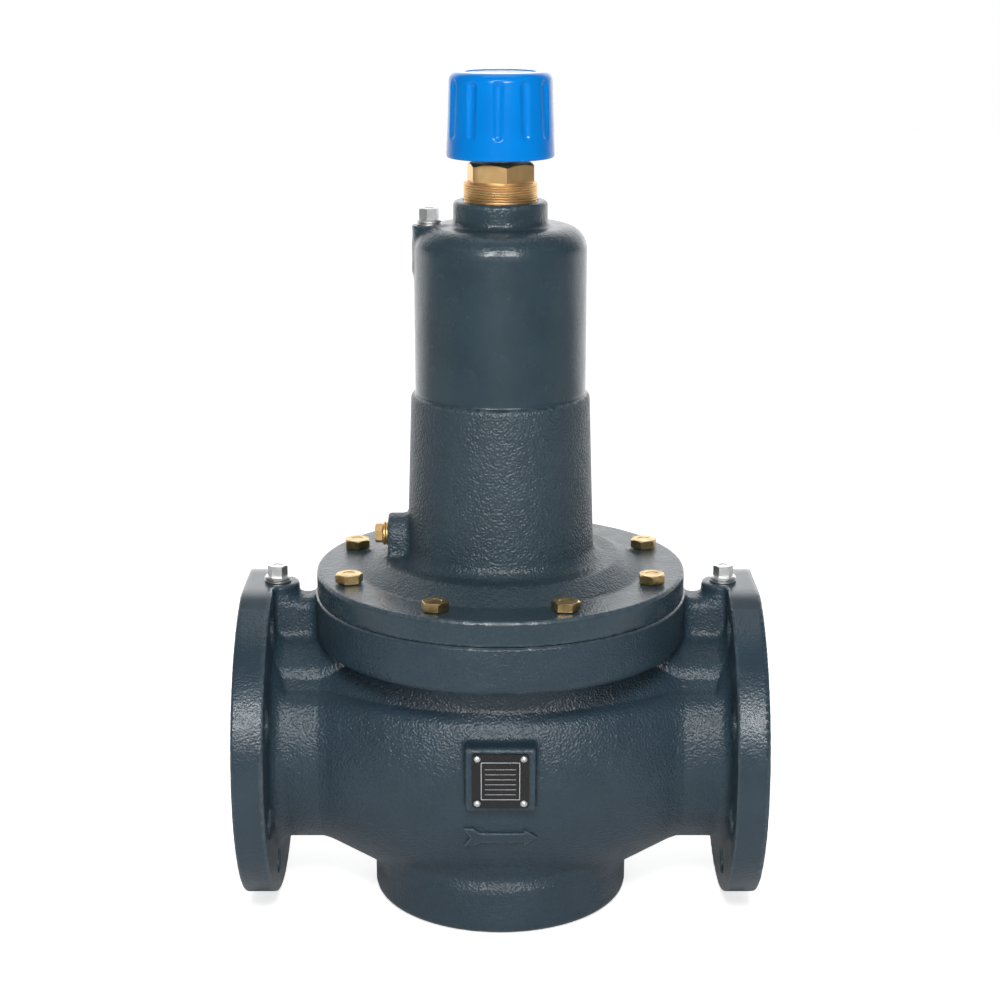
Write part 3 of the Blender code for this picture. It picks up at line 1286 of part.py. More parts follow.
def setting_parts():
    """Setting spindle, carried by the coupling sleeve on the stem."""
    foot = SETTING_RADIUS + SETTING_FOOT_LIP
    foot_top = SETTING_FOOT_Z + SETTING_FOOT_HEIGHT
    neck = SPINDLE_BORE - CLEARANCE
    neck_top = SETTING_COLLAR_TOP_Z + SETTING_NECK_LENGTH
    profile = [
        (0.0, neck_top),
        (neck, neck_top),
        (neck, SETTING_COLLAR_TOP_Z),
        (SETTING_COLLAR_RADIUS, SETTING_COLLAR_TOP_Z),
        (SETTING_COLLAR_RADIUS, SETTING_COLLAR_Z),
        (SETTING_RADIUS, SETTING_COLLAR_Z),
        (SETTING_RADIUS, foot_top),
        (foot, foot_top),
        (foot, SETTING_FOOT_Z),
        (0.0, SETTING_FOOT_Z),
    ]
    spindle = turned("setting_spindle", profile, STEEL, SMALL_STEPS)
    key_low = neck_top - SETTING_KEY_DEPTH
    cut(spindle, hexagon("setting_key", SETTING_KEY_FLATS, SETTING_KEY_DEPTH + OVERRUN, key_low))
    settle(spindle)
    cavity = foot + CLEARANCE
    upper = SETTING_RADIUS + CLEARANCE
    sleeve = [
        (upper, SLEEVE_TOP_Z),
        (SLEEVE_RADIUS, SLEEVE_TOP_Z),
        (SLEEVE_RADIUS, SLEEVE_Z),
        (STEM_TOP_HOLE, SLEEVE_Z),
        (STEM_TOP_HOLE, STEM_TOP_Z + CLEARANCE),
        (cavity, STEM_TOP_Z + CLEARANCE),
        (cavity, SLEEVE_LIP_Z),
        (upper, SLEEVE_LIP_Z),
    ]
    settle(turned("coupling_sleeve", sleeve, STEEL, SMALL_STEPS))


def gland():
    """Brass gland nut with its threaded collar, and the rings that seal it."""
    ring_low = COLUMN_ROOF_Z + GLAND_RING_DEPTH
    ring_high = ring_low + 2 * RING_SECTION + 2 * CLEARANCE
    ring_floor = GLAND_RADIUS - 2 * RING_SECTION
    ridges = int(GLAND_COLLAR_HEIGHT / GLAND_THREAD_PITCH)
    pitch = GLAND_COLLAR_HEIGHT / ridges
    thread = []
    for i in range(ridges):
        crest_z = GLAND_HEX_Z - pitch * (i + 0.25)
        thread.append((GLAND_RADIUS, crest_z))
        thread.append((GLAND_RADIUS - GLAND_THREAD_DEPTH, crest_z - pitch / 2))
    profile = [
        (0.0, GLAND_HEX_Z),
        (GLAND_RADIUS - GLAND_THREAD_DEPTH, GLAND_HEX_Z),
        *thread,
        (GLAND_RADIUS, NECK_TOP_Z - pitch / 4),
        (GLAND_RADIUS, ring_high),
        (ring_floor, ring_high),
        (ring_floor, ring_low),
        (GLAND_RADIUS, ring_low),
        (GLAND_RADIUS, COLUMN_ROOF_Z),
        (0.0, COLUMN_ROOF_Z),
    ]
    body = turned("gland_nut", profile, BRASS)
    turn = GLAND_HEX_TURN - math.pi / 2
    head_height = GLAND_HEX_HEIGHT + GLAND_THREAD_PITCH
    head = hexagon("gland_hex", GLAND_FLATS, head_height, GLAND_TOP_Z - head_height, turn)
    join(body, head)
    hole = SPINDLE_RADIUS + CLEARANCE
    pocket_high = GLAND_TOP_Z - SPINDLE_RING_DROP
    pocket_low = pocket_high - 2 * RING_SECTION - 2 * CLEARANCE
    pocket = hole + 2 * RING_SECTION + CLEARANCE
    bore = [
        (0.0, GLAND_TOP_Z + OVERRUN),
        (hole, GLAND_TOP_Z + OVERRUN),
        (hole, pocket_high),
        (pocket, pocket_high),
        (pocket, pocket_low),
        (hole, pocket_low),
        (hole, COLUMN_ROOF_Z - OVERRUN),
        (0.0, COLUMN_ROOF_Z - OVERRUN),
    ]
    cut(body, turned("gland_bore", bore))
    settle(body)
    mean = ring_floor + CLEARANCE / 2 + RING_SECTION
    o_ring("gland_o_ring", mean, (ring_low + ring_high) / 2)
    o_ring("spindle_o_ring", hole + RING_SECTION, (pocket_low + pocket_high) / 2)


def shut_off_spindle():
    """Hollow spindle that screws down in the gland, with a thrust washer under its foot."""
    shoulder_z = KNOB_HUB_Z - CLEARANCE
    profile = [
        (0.0, shoulder_z),
        (SPINDLE_RADIUS, shoulder_z),
        (SPINDLE_RADIUS, SPINDLE_Z + SPINDLE_FOOT_HEIGHT),
        (SPINDLE_FOOT_RADIUS, SPINDLE_Z + SPINDLE_FOOT_HEIGHT),
        (SPINDLE_FOOT_RADIUS, SPINDLE_Z),
        (0.0, SPINDLE_Z),
    ]
    spindle = turned("shut_off_spindle", profile, BRASS, SMALL_STEPS)
    square_low = (0.0, 0.0, shoulder_z - OVERRUN)
    square_height = POCKET_Z - CLEARANCE - square_low[2]
    corner = SPINDLE_SQUARE / math.sqrt(2)
    square = rods("spindle_square", [square_low], corner, square_height, "Z", 4)
    end_height = SPINDLE_TOP_Z - square_low[2]
    end = rods("spindle_end", [square_low], SPINDLE_END_RADIUS, end_height, "Z", SMALL_STEPS)
    join(spindle, square, end)
    low = (0.0, 0.0, SPINDLE_Z - OVERRUN)
    length = SPINDLE_TOP_Z - SPINDLE_Z + 2 * OVERRUN
    cut(spindle, rods("spindle_bore", [low], SPINDLE_BORE, length, "Z", SMALL_STEPS))
    settle(spindle)
    washer_high = THRUST_WASHER_Z + THRUST_WASHER_THICKNESS
    washer = ring(THRUST_WASHER_BORE, THRUST_WASHER_RADIUS, THRUST_WASHER_Z, washer_high)
    settle(turned("thrust_washer", washer, BRASS, SMALL_STEPS))


def knob():
    """Fluted knob with its hub, nut and cap."""
    rim = KNOB_CAP_RADIUS + CLEARANCE
    crown = (KNOB_HEAD_RADIUS - KNOB_ROUND, KNOB_TOP_Z - KNOB_ROUND)
    inner_foot = KNOB_FOOT_RADIUS - KNOB_WALL
    inner_head = KNOB_HEAD_RADIUS - KNOB_WALL - KNOB_FLUTE_DEPTH
    profile = [
        (0.0, POCKET_Z),
        (KNOB_POCKET_RADIUS, POCKET_Z),
        (KNOB_POCKET_RADIUS, CAP_SEAT_Z),
        (rim, CAP_SEAT_Z),
        (rim, KNOB_TOP_Z),
        *arc(crown, KNOB_ROUND, 90, 0, 4),
        (KNOB_FOOT_RADIUS, KNOB_Z + KNOB_FOOT_ROUND),
        (KNOB_FOOT_RADIUS - KNOB_FOOT_ROUND, KNOB_Z),
        (inner_foot, KNOB_Z),
        (inner_head, KNOB_WEB_Z),
        (KNOB_HUB_RADIUS, KNOB_WEB_Z),
        (KNOB_HUB_RADIUS, KNOB_HUB_Z),
        (0.0, KNOB_HUB_Z),
    ]
    grip = turned("knob", profile, BLUE, 3 * KNOB_FLUTE_COUNT)
    socket_low = (0.0, 0.0, KNOB_HUB_Z - OVERRUN)
    socket = (SPINDLE_SQUARE + 2 * CLEARANCE) / math.sqrt(2)
    socket_length = POCKET_Z - KNOB_HUB_Z + 2 * OVERRUN
    cut(grip, rods("knob_socket", [socket_low], socket, socket_length, "Z", 4), knob_flutes())
    settle(grip)
    nut("knob_nut", KNOB_NUT_FLATS, KNOB_NUT_HEIGHT, KNOB_NUT_Z, SPINDLE_END_RADIUS + CLEARANCE)
    top = CAP_Z + KNOB_CAP_THICKNESS
    cap = [
        (0.0, top),
        (KNOB_CAP_RADIUS - KNOB_CAP_SUNK, top),
        (KNOB_CAP_RADIUS, top - KNOB_CAP_SUNK),
        (KNOB_CAP_RADIUS, CAP_Z),
        (0.0, CAP_Z),
    ]
    settle(turned("knob_cap", cap, PALE))


def knob_flutes():
    """Round-ended finger flutes as one cutter."""
    radius = KNOB_FLUTE_RADIUS
    low = KNOB_Z + KNOB_FLUTE_FOOT + radius
    high = KNOB_TOP_Z - KNOB_FLUTE_TOP - radius
    share = (high - low) / KNOB_HEIGHT
    lean = (KNOB_FOOT_RADIUS - KNOB_HEAD_RADIUS) * share
    at_low = KNOB_FOOT_RADIUS - KNOB_FLUTE_DEPTH + radius
    mesh = bpy.data.meshes.new("knob_flutes")
    shape = bmesh.new()
    for i in range(KNOB_FLUTE_COUNT):
        angle = KNOB_FLUTE_TURN - math.pi / 2 + 2 * math.pi * i / KNOB_FLUTE_COUNT
        made = bmesh.ops.create_uvsphere(shape, u_segments=10, v_segments=6, radius=radius)
        for vertex in made["verts"]:
            out = at_low
            if vertex.co.z > radius / 10:
                vertex.co.z += high - low
                out -= lean
            vertex.co.z += low
            vertex.co.x += out
        bmesh.ops.rotate(shape, verts=made["verts"], matrix=Matrix.Rotation(angle, 3, "Z"))
    shape.to_mesh(mesh)
    shape.free()
    return add_object("knob_flutes", mesh, None)


def main():
    """Build every piece of the valve."""
    start_scene()
    valve_body()
    name_plate()
    bonnet()
    bonnet_bolts()
    plugs()
    seat()
    closing_parts()
    partition()
    diaphragm_parts()
    reference_spring()
    spring_seats()
    setting_parts()
    gland()
    shut_off_spindle()
    knob()


main()
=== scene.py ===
"""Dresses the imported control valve: castings, knob, gland, fasteners, plate, inner parts and studio."""

from __future__ import annotations

import json
import logging
import math
from dataclasses import dataclass
from enum import Enum
from typing import Callable, Sequence

import bmesh
import bpy
import numpy as np
from mathutils import Matrix, Vector

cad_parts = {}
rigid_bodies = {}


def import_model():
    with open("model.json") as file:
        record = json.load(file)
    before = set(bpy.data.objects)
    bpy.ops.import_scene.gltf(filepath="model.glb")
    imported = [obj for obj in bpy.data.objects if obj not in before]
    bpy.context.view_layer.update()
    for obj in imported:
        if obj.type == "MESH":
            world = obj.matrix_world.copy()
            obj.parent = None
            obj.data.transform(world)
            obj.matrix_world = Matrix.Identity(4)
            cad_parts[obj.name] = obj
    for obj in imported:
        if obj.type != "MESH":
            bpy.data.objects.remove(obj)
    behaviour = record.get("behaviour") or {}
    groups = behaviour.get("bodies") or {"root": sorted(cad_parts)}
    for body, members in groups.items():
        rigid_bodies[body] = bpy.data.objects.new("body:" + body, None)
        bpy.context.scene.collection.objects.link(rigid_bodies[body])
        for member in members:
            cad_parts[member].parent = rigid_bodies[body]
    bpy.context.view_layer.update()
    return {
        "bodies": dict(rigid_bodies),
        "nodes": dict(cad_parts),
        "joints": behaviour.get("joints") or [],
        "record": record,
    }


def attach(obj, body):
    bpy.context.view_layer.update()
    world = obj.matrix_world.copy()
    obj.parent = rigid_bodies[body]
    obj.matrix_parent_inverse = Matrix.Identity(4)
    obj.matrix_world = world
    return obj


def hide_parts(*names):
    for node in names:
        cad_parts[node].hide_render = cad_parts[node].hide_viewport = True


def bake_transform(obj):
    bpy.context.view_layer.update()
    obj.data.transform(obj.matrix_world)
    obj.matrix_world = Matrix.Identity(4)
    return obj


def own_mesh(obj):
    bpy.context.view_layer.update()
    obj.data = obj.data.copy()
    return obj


LOG = logging.getLogger("valve")
AXIS_Z = 0.112
RIGHT_ANGLE = math.pi / 2
OPEN = -0.1  # a radius past the axis, which closes a turned form over it
FAR = 1e9
SMOOTH_ANGLE = 35.0  # degrees, past which an edge stays sharp
HEAD_ANGLE = 25.0
RING_POINTS = 72
RING_ANGLES = np.linspace(0.0, 2 * math.pi, RING_POINTS, endpoint=False)
GRID_OFFSET = 1.37  # grid steps below the lowest corner, so that no flat lies on a grid plane
SLOPE_STEP = 0.35  # grid steps between the places where a slope is read
CENTRE_HOLD = 0.04  # how firmly a cell's point is held to the middle of its crossings
BEND_TO_EDGE = 0.0011  # metres, turns a bend in 1/m into the edge attribute

Field = Callable[[np.ndarray], np.ndarray]
Outline = Sequence[tuple[float, float]]


class Body(str, Enum):
    """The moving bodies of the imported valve."""

    VALVE = "valve"
    CARRIER = "carrier"
    KNOB = "knob"
    TRIM = "trim"
    SETTING = "setting"
    SPRING_PLATE = "spring_plate"


class Slot(str, Enum):
    """The record's material slots."""

    CAST = "slate_cast_iron"
    STEEL = "steel"
    SPRING = "spring_steel"
    ZINC = "zinc_plate"
    GOLD_ZINC = "yellow_zinc_plate"
    BRASS = "brass"
    RUBBER = "rubber"
    BLUE = "blue_plastic"
    PALE = "pale_plastic"
    BLACK = "black_plate"


class Axis(Enum):
    """The axis that a turned form runs about."""

    PIPE = 0
    STEM = 2


def arc(centre: tuple[float, float], radius: float, start: float, end: float, count: int) -> list:
    """Points on an arc in a profile plane.

    Args:
        centre: the arc's centre.
        radius: the arc's radius.
        start: first angle in degrees.
        end: last angle in degrees.
        count: number of steps.

    Returns:
        The points, both ends included.
    """
    angles = np.radians(np.linspace(start, end, count + 1))
    return [(centre[0] + radius * math.cos(a), centre[1] + radius * math.sin(a)) for a in angles]


def smooth_union(one: np.ndarray, two: np.ndarray, fillet: float) -> np.ndarray:
    """Joins two distance fields with a fillet.

    Args:
        one: first field's values.
        two: second field's values.
        fillet: width of the blend in metres.

    Returns:
        The joined field's values.
    """
    share = np.clip(0.5 + 0.5 * (two - one) / fillet, 0.0, 1.0)
    return two + (one - two) * share - fillet * share * (1.0 - share)


def smooth_cut(one: np.ndarray, two: np.ndarray, round_off: float) -> np.ndarray:
    """Cuts the second field out of the first and rounds the edge that is left.

    Args:
        one: field that is cut.
        two: field that is taken away.
        round_off: width of the rounding in metres.

    Returns:
        The cut field's values.
    """
    return -smooth_union(-one, two, round_off)


def outline_distance(outline: Outline, across: np.ndarray, along: np.ndarray) -> np.ndarray:
    """Signed distance to a closed outline in a plane, negative inside.

    Args:
        outline: corners of the outline.
        across: first coordinate of each point.
        along: second coordinate of each point.

    Returns:
        One distance for each point.
    """
    nearest = np.full(across.shape, FAR, dtype=across.dtype)
    inside = np.zeros(across.shape, dtype=bool)
    corners = list(outline)
    for (ax, ay), (bx, by) in zip(corners, corners[1:] + corners[:1]):
        ex, ey = bx - ax, by - ay
        wx, wy = across - ax, along - ay
        share = np.clip((wx * ex + wy * ey) / (ex * ex + ey * ey + 1e-18), 0.0, 1.0)
        nearest = np.minimum(nearest, (wx - ex * share) ** 2 + (wy - ey * share) ** 2)
        if ey:
            crossing = (ay > along) != (by > along)
            inside ^= crossing & (wx < wy * (ex / ey))
    return np.sqrt(nearest) * np.where(inside, -1.0, 1.0)


def turned_distance(outline: Outline, points: np.ndarray, axis: Axis) -> np.ndarray:
    """Signed distance to a form turned about the pipe axis or the stem axis.

    Args:
        outline: corners as (radius, height); a negative radius closes the form over its axis.
        points: places as rows of x, y, z.
        axis: the axis of the form.

    Returns:
        One distance for each point.
    """
    x, y, z = points[:, 0], points[:, 1], points[:, 2]
    if axis is Axis.PIPE:
        return outline_distance(outline, np.hypot(y, z - AXIS_Z), x)
    return outline_distance(outline, np.hypot(x, y), z)


def block_distance(
    points: np.ndarray, low: Sequence[float], high: Sequence[float], edge: float
) -> np.ndarray:
    """Signed distance to a box with rounded edges.

    Args:
        points: places as rows of x, y, z.
        low: lowest corner.
        high: highest corner.
        edge: edge radius.

    Returns:
        One distance for each point.
    """
    low_corner = np.asarray(low, dtype=points.dtype)
    high_corner = np.asarray(high, dtype=points.dtype)
    reach = np.abs(points - (low_corner + high_corner) / 2) - (high_corner - low_corner) / 2 + edge
    outside = np.sqrt((np.maximum(reach, 0.0) ** 2).sum(axis=1))
    return outside + np.minimum(reach.max(axis=1), 0.0) - edge


def rod_distance(radial: np.ndarray, along: np.ndarray, radius: float, low: float, high: float) -> np.ndarray:
    """Signed distance to a plain cylinder.

    Args:
        radial: distance of each point from the cylinder's axis.
        along: place of each point along the axis.
        radius: the cylinder's radius.
        low: where it starts.
        high: where it ends.

    Returns:
        One distance for each point.
    """
    side = radial - radius
    ends = np.abs(along - (low + high) / 2) - (high - low) / 2
    outside = np.hypot(np.maximum(side, 0.0), np.maximum(ends, 0.0))
    return outside + np.minimum(np.maximum(side, ends), 0.0)


def folded(across: np.ndarray, up: np.ndarray, count: int, phase: float) -> tuple[np.ndarray, np.ndarray]:
    """Folds a plane so that one copy stands for a ring of copies.

    Args:
        across: first coordinate.
        up: second coordinate.
        count: copies in the ring.
        phase: angle of the first copy in radians.

    Returns:
        Coordinates in which every copy lies on the first axis.
    """
    pitch = 2.0 * math.pi / count
    angle = np.arctan2(up, across) - phase
    angle = angle - pitch * np.round(angle / pitch)
    radius = np.hypot(across, up)
    return radius * np.cos(angle), radius * np.sin(angle)


@dataclass
class Moulding:
    """A closed surface drawn from a distance field on an even grid, thinned first where inner is true."""

    name: str
    field: Field
    low: tuple[float, float, float]
    high: tuple[float, float, float]
    step: float
    most_triangles: int = 199_000
    inner: Field | None = None

    def _grid(self) -> tuple[np.ndarray, np.ndarray]:
        """Samples the field.

        Returns:
            The field's values on the grid and the grid's first corner.
        """
        origin = np.array(self.low) - GRID_OFFSET * self.step
        counts = np.ceil((np.array(self.high) - origin) / self.step).astype(int) + 3
        ys, zs = np.meshgrid(np.arange(counts[1]), np.arange(counts[2]), indexing="ij")
        sheet = np.stack([np.zeros(ys.size), ys.ravel(), zs.ravel()], axis=1)
        values = np.empty(counts, dtype=np.float32)
        for i in range(counts[0]):
            sheet[:, 0] = i
            points = (origin + sheet * self.step).astype(np.float32)
            values[i] = self.field(points).reshape(counts[1], counts[2])
        return values, origin

    def _crossings(self, values: np.ndarray) -> tuple[np.ndarray, np.ndarray]:
        """Finds every grid edge that the surface crosses.

        Args:
            values: the field on the grid.

        Returns:
            Crossing places in grid steps, and the four cells around each, in outward order.
        """
        inside = values < 0.0
        spots, cells = [], []
        for axis in range(3):
            u, v = [(1, 2), (2, 0), (0, 1)][axis]
            ahead = np.take(inside, range(1, inside.shape[axis]), axis=axis)
            behind = np.take(inside, range(inside.shape[axis] - 1), axis=axis)
            first = np.argwhere(ahead != behind)
            second = first.copy()
            second[:, axis] += 1
            near, far = values[tuple(first.T)], values[tuple(second.T)]
            spots.append(first + (near / (near - far))[:, None] * (second - first))
            ring = []
            for du, dv in ((0, 0), (1, 0), (1, 1), (0, 1)):
                cell = first.copy()
                cell[:, u] -= 1 - du
                cell[:, v] -= 1 - dv
                ring.append(np.ravel_multi_index(tuple(cell.T), inside.shape))
            around = np.stack(ring, axis=1)
            flipped = near > 0.0
            around[flipped] = around[flipped][:, ::-1]
            cells.append(around)
        return np.concatenate(spots), np.concatenate(cells)

    def _net(self, values: np.ndarray, origin: np.ndarray) -> tuple[np.ndarray, np.ndarray]:
        """Draws one point in each cell that the surface crosses, on the edge where the cell holds one.

        Args:
            values: the field on the grid.
            origin: the grid's first corner.

        Returns:
            Points and four-sided faces.
        """
        spots, cells = self._crossings(values)
        kept, faces = np.unique(cells, return_inverse=True)
        faces = faces.reshape(-1, 4)
        spots, normals = self._pulled(origin + spots * self.step)
        owner = faces.ravel()

        def gathered(column: np.ndarray) -> np.ndarray:
            """Sums a value of each crossing over the cells around it."""
            return np.bincount(owner, weights=np.repeat(column, 4), minlength=len(kept))

        count = gathered(np.ones(len(spots)))
        middle = np.stack([gathered(spots[:, i]) for i in range(3)], axis=1) / count[:, None]
        reach = (normals * spots).sum(axis=1)
        pull = np.stack([gathered(normals[:, i] * reach) for i in range(3)], axis=1)
        spread = np.empty((len(kept), 3, 3))
        for i in range(3):
            for j in range(3):
                spread[:, i, j] = gathered(normals[:, i] * normals[:, j])
        pull -= np.einsum("nij,nj->ni", spread, middle)
        spread += CENTRE_HOLD * count[:, None, None] * np.eye(3)
        shift = np.linalg.solve(spread, pull[:, :, None])[:, :, 0]
        return middle + np.clip(shift, -self.step, self.step), faces

    def _slope(self, points: np.ndarray) -> tuple[np.ndarray, np.ndarray]:
        """Slope and curvature of the field at some points.

        Args:
            points: places as rows of x, y, z.

        Returns:
            Unit normals, and the bend of the surface in 1/m.
        """
        small = self.step * SLOPE_STEP
        normals = np.empty_like(points)
        bend = -6.0 * self.field(points)
        for axis in range(3):
            shift = np.zeros(3)
            shift[axis] = small
            ahead = self.field(points + shift)
            behind = self.field(points - shift)
            normals[:, axis] = ahead - behind
            bend += ahead + behind
        normals /= np.linalg.norm(normals, axis=1, keepdims=True) + 1e-12
        return normals, bend / small**2

    def _pulled(self, points: np.ndarray) -> tuple[np.ndarray, np.ndarray]:
        """Moves points near the surface onto it, by one grid step at most.

        Args:
            points: places near the surface.

        Returns:
            Places on the surface, and the unit normals that they moved along.
        """
        normals, _ = self._slope(points)
        away = np.clip(self.field(points), -self.step, self.step)
        return points - normals * away[:, None], normals

    def build(self) -> bpy.types.Object:
        """Makes the object, with its bend kept in the point attribute edge.

        Returns:
            The new object at the origin.
        """
        values, origin = self._grid()
        points, faces = self._net(values, origin)
        mesh = bpy.data.meshes.new(self.name)
        mesh.from_pydata(points.tolist(), [], faces.tolist())
        piece = bpy.data.objects.new(self.name, mesh)
        bpy.context.scene.collection.objects.link(piece)
        if 2 * len(faces) > self.most_triangles:
            thin = piece.modifiers.new("thin", "DECIMATE")
            thin.ratio = self.most_triangles / (2 * len(faces))
            if self.inner:
                group = piece.vertex_groups.new(name="inner")
                group.add(np.flatnonzero(self.inner(points)).tolist(), 1.0, "REPLACE")
                thin.vertex_group = group.name
            bake(piece)
            piece.vertex_groups.clear()
        self._finish(piece)
        return piece

    def _finish(self, piece: bpy.types.Object) -> None:
        """Sets true normals and the edge attribute on a drawn piece."""
        mesh = piece.data
        points, _ = self._pulled(mesh_points(mesh))
        mesh.vertices.foreach_set("co", points.ravel())
        normals, bend = self._slope(points)
        keep_values(mesh, "edge", np.clip(bend * BEND_TO_EDGE, -1.0, 1.0))
        mesh.shade_smooth()
        mesh.normals_split_custom_set_from_vertices(normals.tolist())
        mesh.update()


def mesh_points(mesh: bpy.types.Mesh) -> np.ndarray:
    """The mesh's points as rows of x, y, z."""
    points = np.empty(len(mesh.vertices) * 3)
    mesh.vertices.foreach_get("co", points)
    return points.reshape(-1, 3)


def keep_values(mesh: bpy.types.Mesh, name: str, values: np.ndarray) -> None:
    """Keeps one value for each point in a new attribute."""
    attribute = mesh.attributes.new(name, "FLOAT", "POINT")
    attribute.data.foreach_set("value", values.astype(np.float32))


def mark_machined(piece: bpy.types.Object, share: Field) -> None:
    """Keeps how machined each point is in the point attribute machined."""
    keep_values(piece.data, "machined", share(mesh_points(piece.data)))


def shade(mesh: bpy.types.Mesh, sharp: float = SMOOTH_ANGLE) -> None:
    """Shades a mesh smooth, apart from edges past an angle in degrees."""
    mesh.shade_smooth()
    mesh.set_sharp_from_angle(angle=math.radians(sharp))


def bake(piece: bpy.types.Object) -> None:
    """Turns a piece with modifiers into a plain mesh."""
    bpy.context.view_layer.update()
    graph = bpy.context.evaluated_depsgraph_get()
    mesh = bpy.data.meshes.new_from_object(piece.evaluated_get(graph), depsgraph=graph)
    piece.modifiers.clear()
    piece.data = mesh
    mesh.name = piece.name


def add_piece(
    name: str, points: Sequence, faces: Sequence, sharp: float = SMOOTH_ANGLE
) -> bpy.types.Object:
    """A new object from points and faces, shaded smooth up to an angle.

    Args:
        name: the object's name.
        points: corner places.
        faces: corner numbers of each face.
        sharp: angle in degrees past which an edge stays sharp.

    Returns:
        The object at the origin.
    """
    mesh = bpy.data.meshes.new(name)
    mesh.from_pydata([tuple(p) for p in points], [], [tuple(f) for f in faces])
    shape = bmesh.new()
    shape.from_mesh(mesh)
    bmesh.ops.remove_doubles(shape, verts=shape.verts, dist=1e-7)
    bmesh.ops.recalc_face_normals(shape, faces=shape.faces)
    shape.to_mesh(mesh)
    shape.free()
    shade(mesh, sharp)
    piece = bpy.data.objects.new(name, mesh)
    bpy.context.scene.collection.objects.link(piece)
    return piece


def rings_to_faces(ring_count: int, steps: int, closed: bool) -> list[tuple[int, ...]]:
    """Faces between rings of points that lie one after another.

    Args:
        ring_count: number of rings.
        steps: points in a ring.
        closed: True if the last ring joins the first, False if both ends are capped.

    Returns:
        Corner numbers of each face.
    """
    faces = []
    for i in range(ring_count if closed else ring_count - 1):
        here = i * steps
        there = (i + 1) % ring_count * steps
        for j in range(steps):
            k = (j + 1) % steps
            faces.append((here + j, here + k, there + k, there + j))
    if not closed:
        faces.append(tuple(range(steps))[::-1])
        faces.append(tuple(range((ring_count - 1) * steps, ring_count * steps)))
    return faces


def lathe(name: str, profile: Outline, steps: int, closed: bool = False) -> bpy.types.Object:
    """A piece turned about the stem axis.

    Args:
        name: the object's name.
        profile: points as (radius, height).
        steps: points around the axis.
        closed: True for a ring whose profile closes on itself.

    Returns:
        The object at the origin.
    """
    angles = np.linspace(0.0, 2 * math.pi, steps, endpoint=False)
    points = [(r * math.cos(a), r * math.sin(a), z) for r, z in profile for a in angles]
    return add_piece(name, points, rings_to_faces(len(profile), steps, closed))


def circle(radius: float, height: float) -> list[tuple]:
    """One ring of points about the stem axis."""
    return [(radius * math.cos(a), radius * math.sin(a), height) for a in RING_ANGLES]


def stacked(name: str, rings: list[list[tuple]], closed: bool, sharp: float) -> bpy.types.Object:
    """A piece from rings of points that lie one after another.

    Args:
        name: the object's name.
        rings: the rings in order.
        closed: True if the last ring joins the first, False if both ends are capped.
        sharp: angle in degrees past which an edge stays sharp.

    Returns:
        The object at the origin.
    """
    points = [point for ring in rings for point in ring]
    return add_piece(name, points, rings_to_faces(len(rings), RING_POINTS, closed), sharp)


def hexagon_rings(flats: float, low: float, high: float, turn: float = 0.0) -> list[list[tuple]]:
    """Rings of a hexagon head with turned-off upper corners.

    Args:
        flats: width across the flats.
        low: underside height.
        high: top height.
        turn: angle of the first corner in radians.

    Returns:
        Rings of points from bottom to top.
    """
    wall = [flats / 2 / math.cos((a - turn) % (math.pi / 3) - math.pi / 6) for a in RING_ANGLES]
    crown = flats * 0.478
    slope = math.tan(math.radians(28))

    def wall_ring(heights: Sequence[float]) -> list[tuple]:
        """The hexagon's wall at one height for each point."""
        return [(r * math.cos(a), r * math.sin(a), z) for r, z, a in zip(wall, heights, RING_ANGLES)]

    upper = [high - (r - crown) * slope for r in wall]
    top = [circle(crown, high), circle(crown * 0.9, high - 0.0001)]
    return [wall_ring([low] * RING_POINTS), wall_ring(upper), *top]


def joined(name: str, parts: Sequence[bpy.types.Object]) -> bpy.types.Object:
    """Puts several objects' meshes into one piece.

    Args:
        name: the piece's name.
        parts: objects to join, which are removed.

    Returns:
        The joined object.
    """
    whole = bpy.data.meshes.new(name)
    shape = bmesh.new()
    for part in parts:
        shape.from_mesh(part.data)
    shape.to_mesh(whole)
    shape.free()
    for part in parts:
        bpy.data.objects.remove(part, do_unlink=True)
    shade(whole)
    piece = bpy.data.objects.new(name, whole)
    bpy.context.scene.collection.objects.link(piece)
    return piece


def mount(
    piece: bpy.types.Object,
    body: Body,
    material: bpy.types.Material,
    nodes: Sequence[str] = (),
) -> None:
    """Gives a finished piece its material and its body, and hides the nodes it stands for."""
    piece.data.materials.clear()
    piece.data.materials.append(material)
    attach(piece, body.value)
    if nodes:
        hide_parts(*nodes)
    LOG.info("%s rides on %s, %d faces", piece.name, body.value, len(piece.data.polygons))


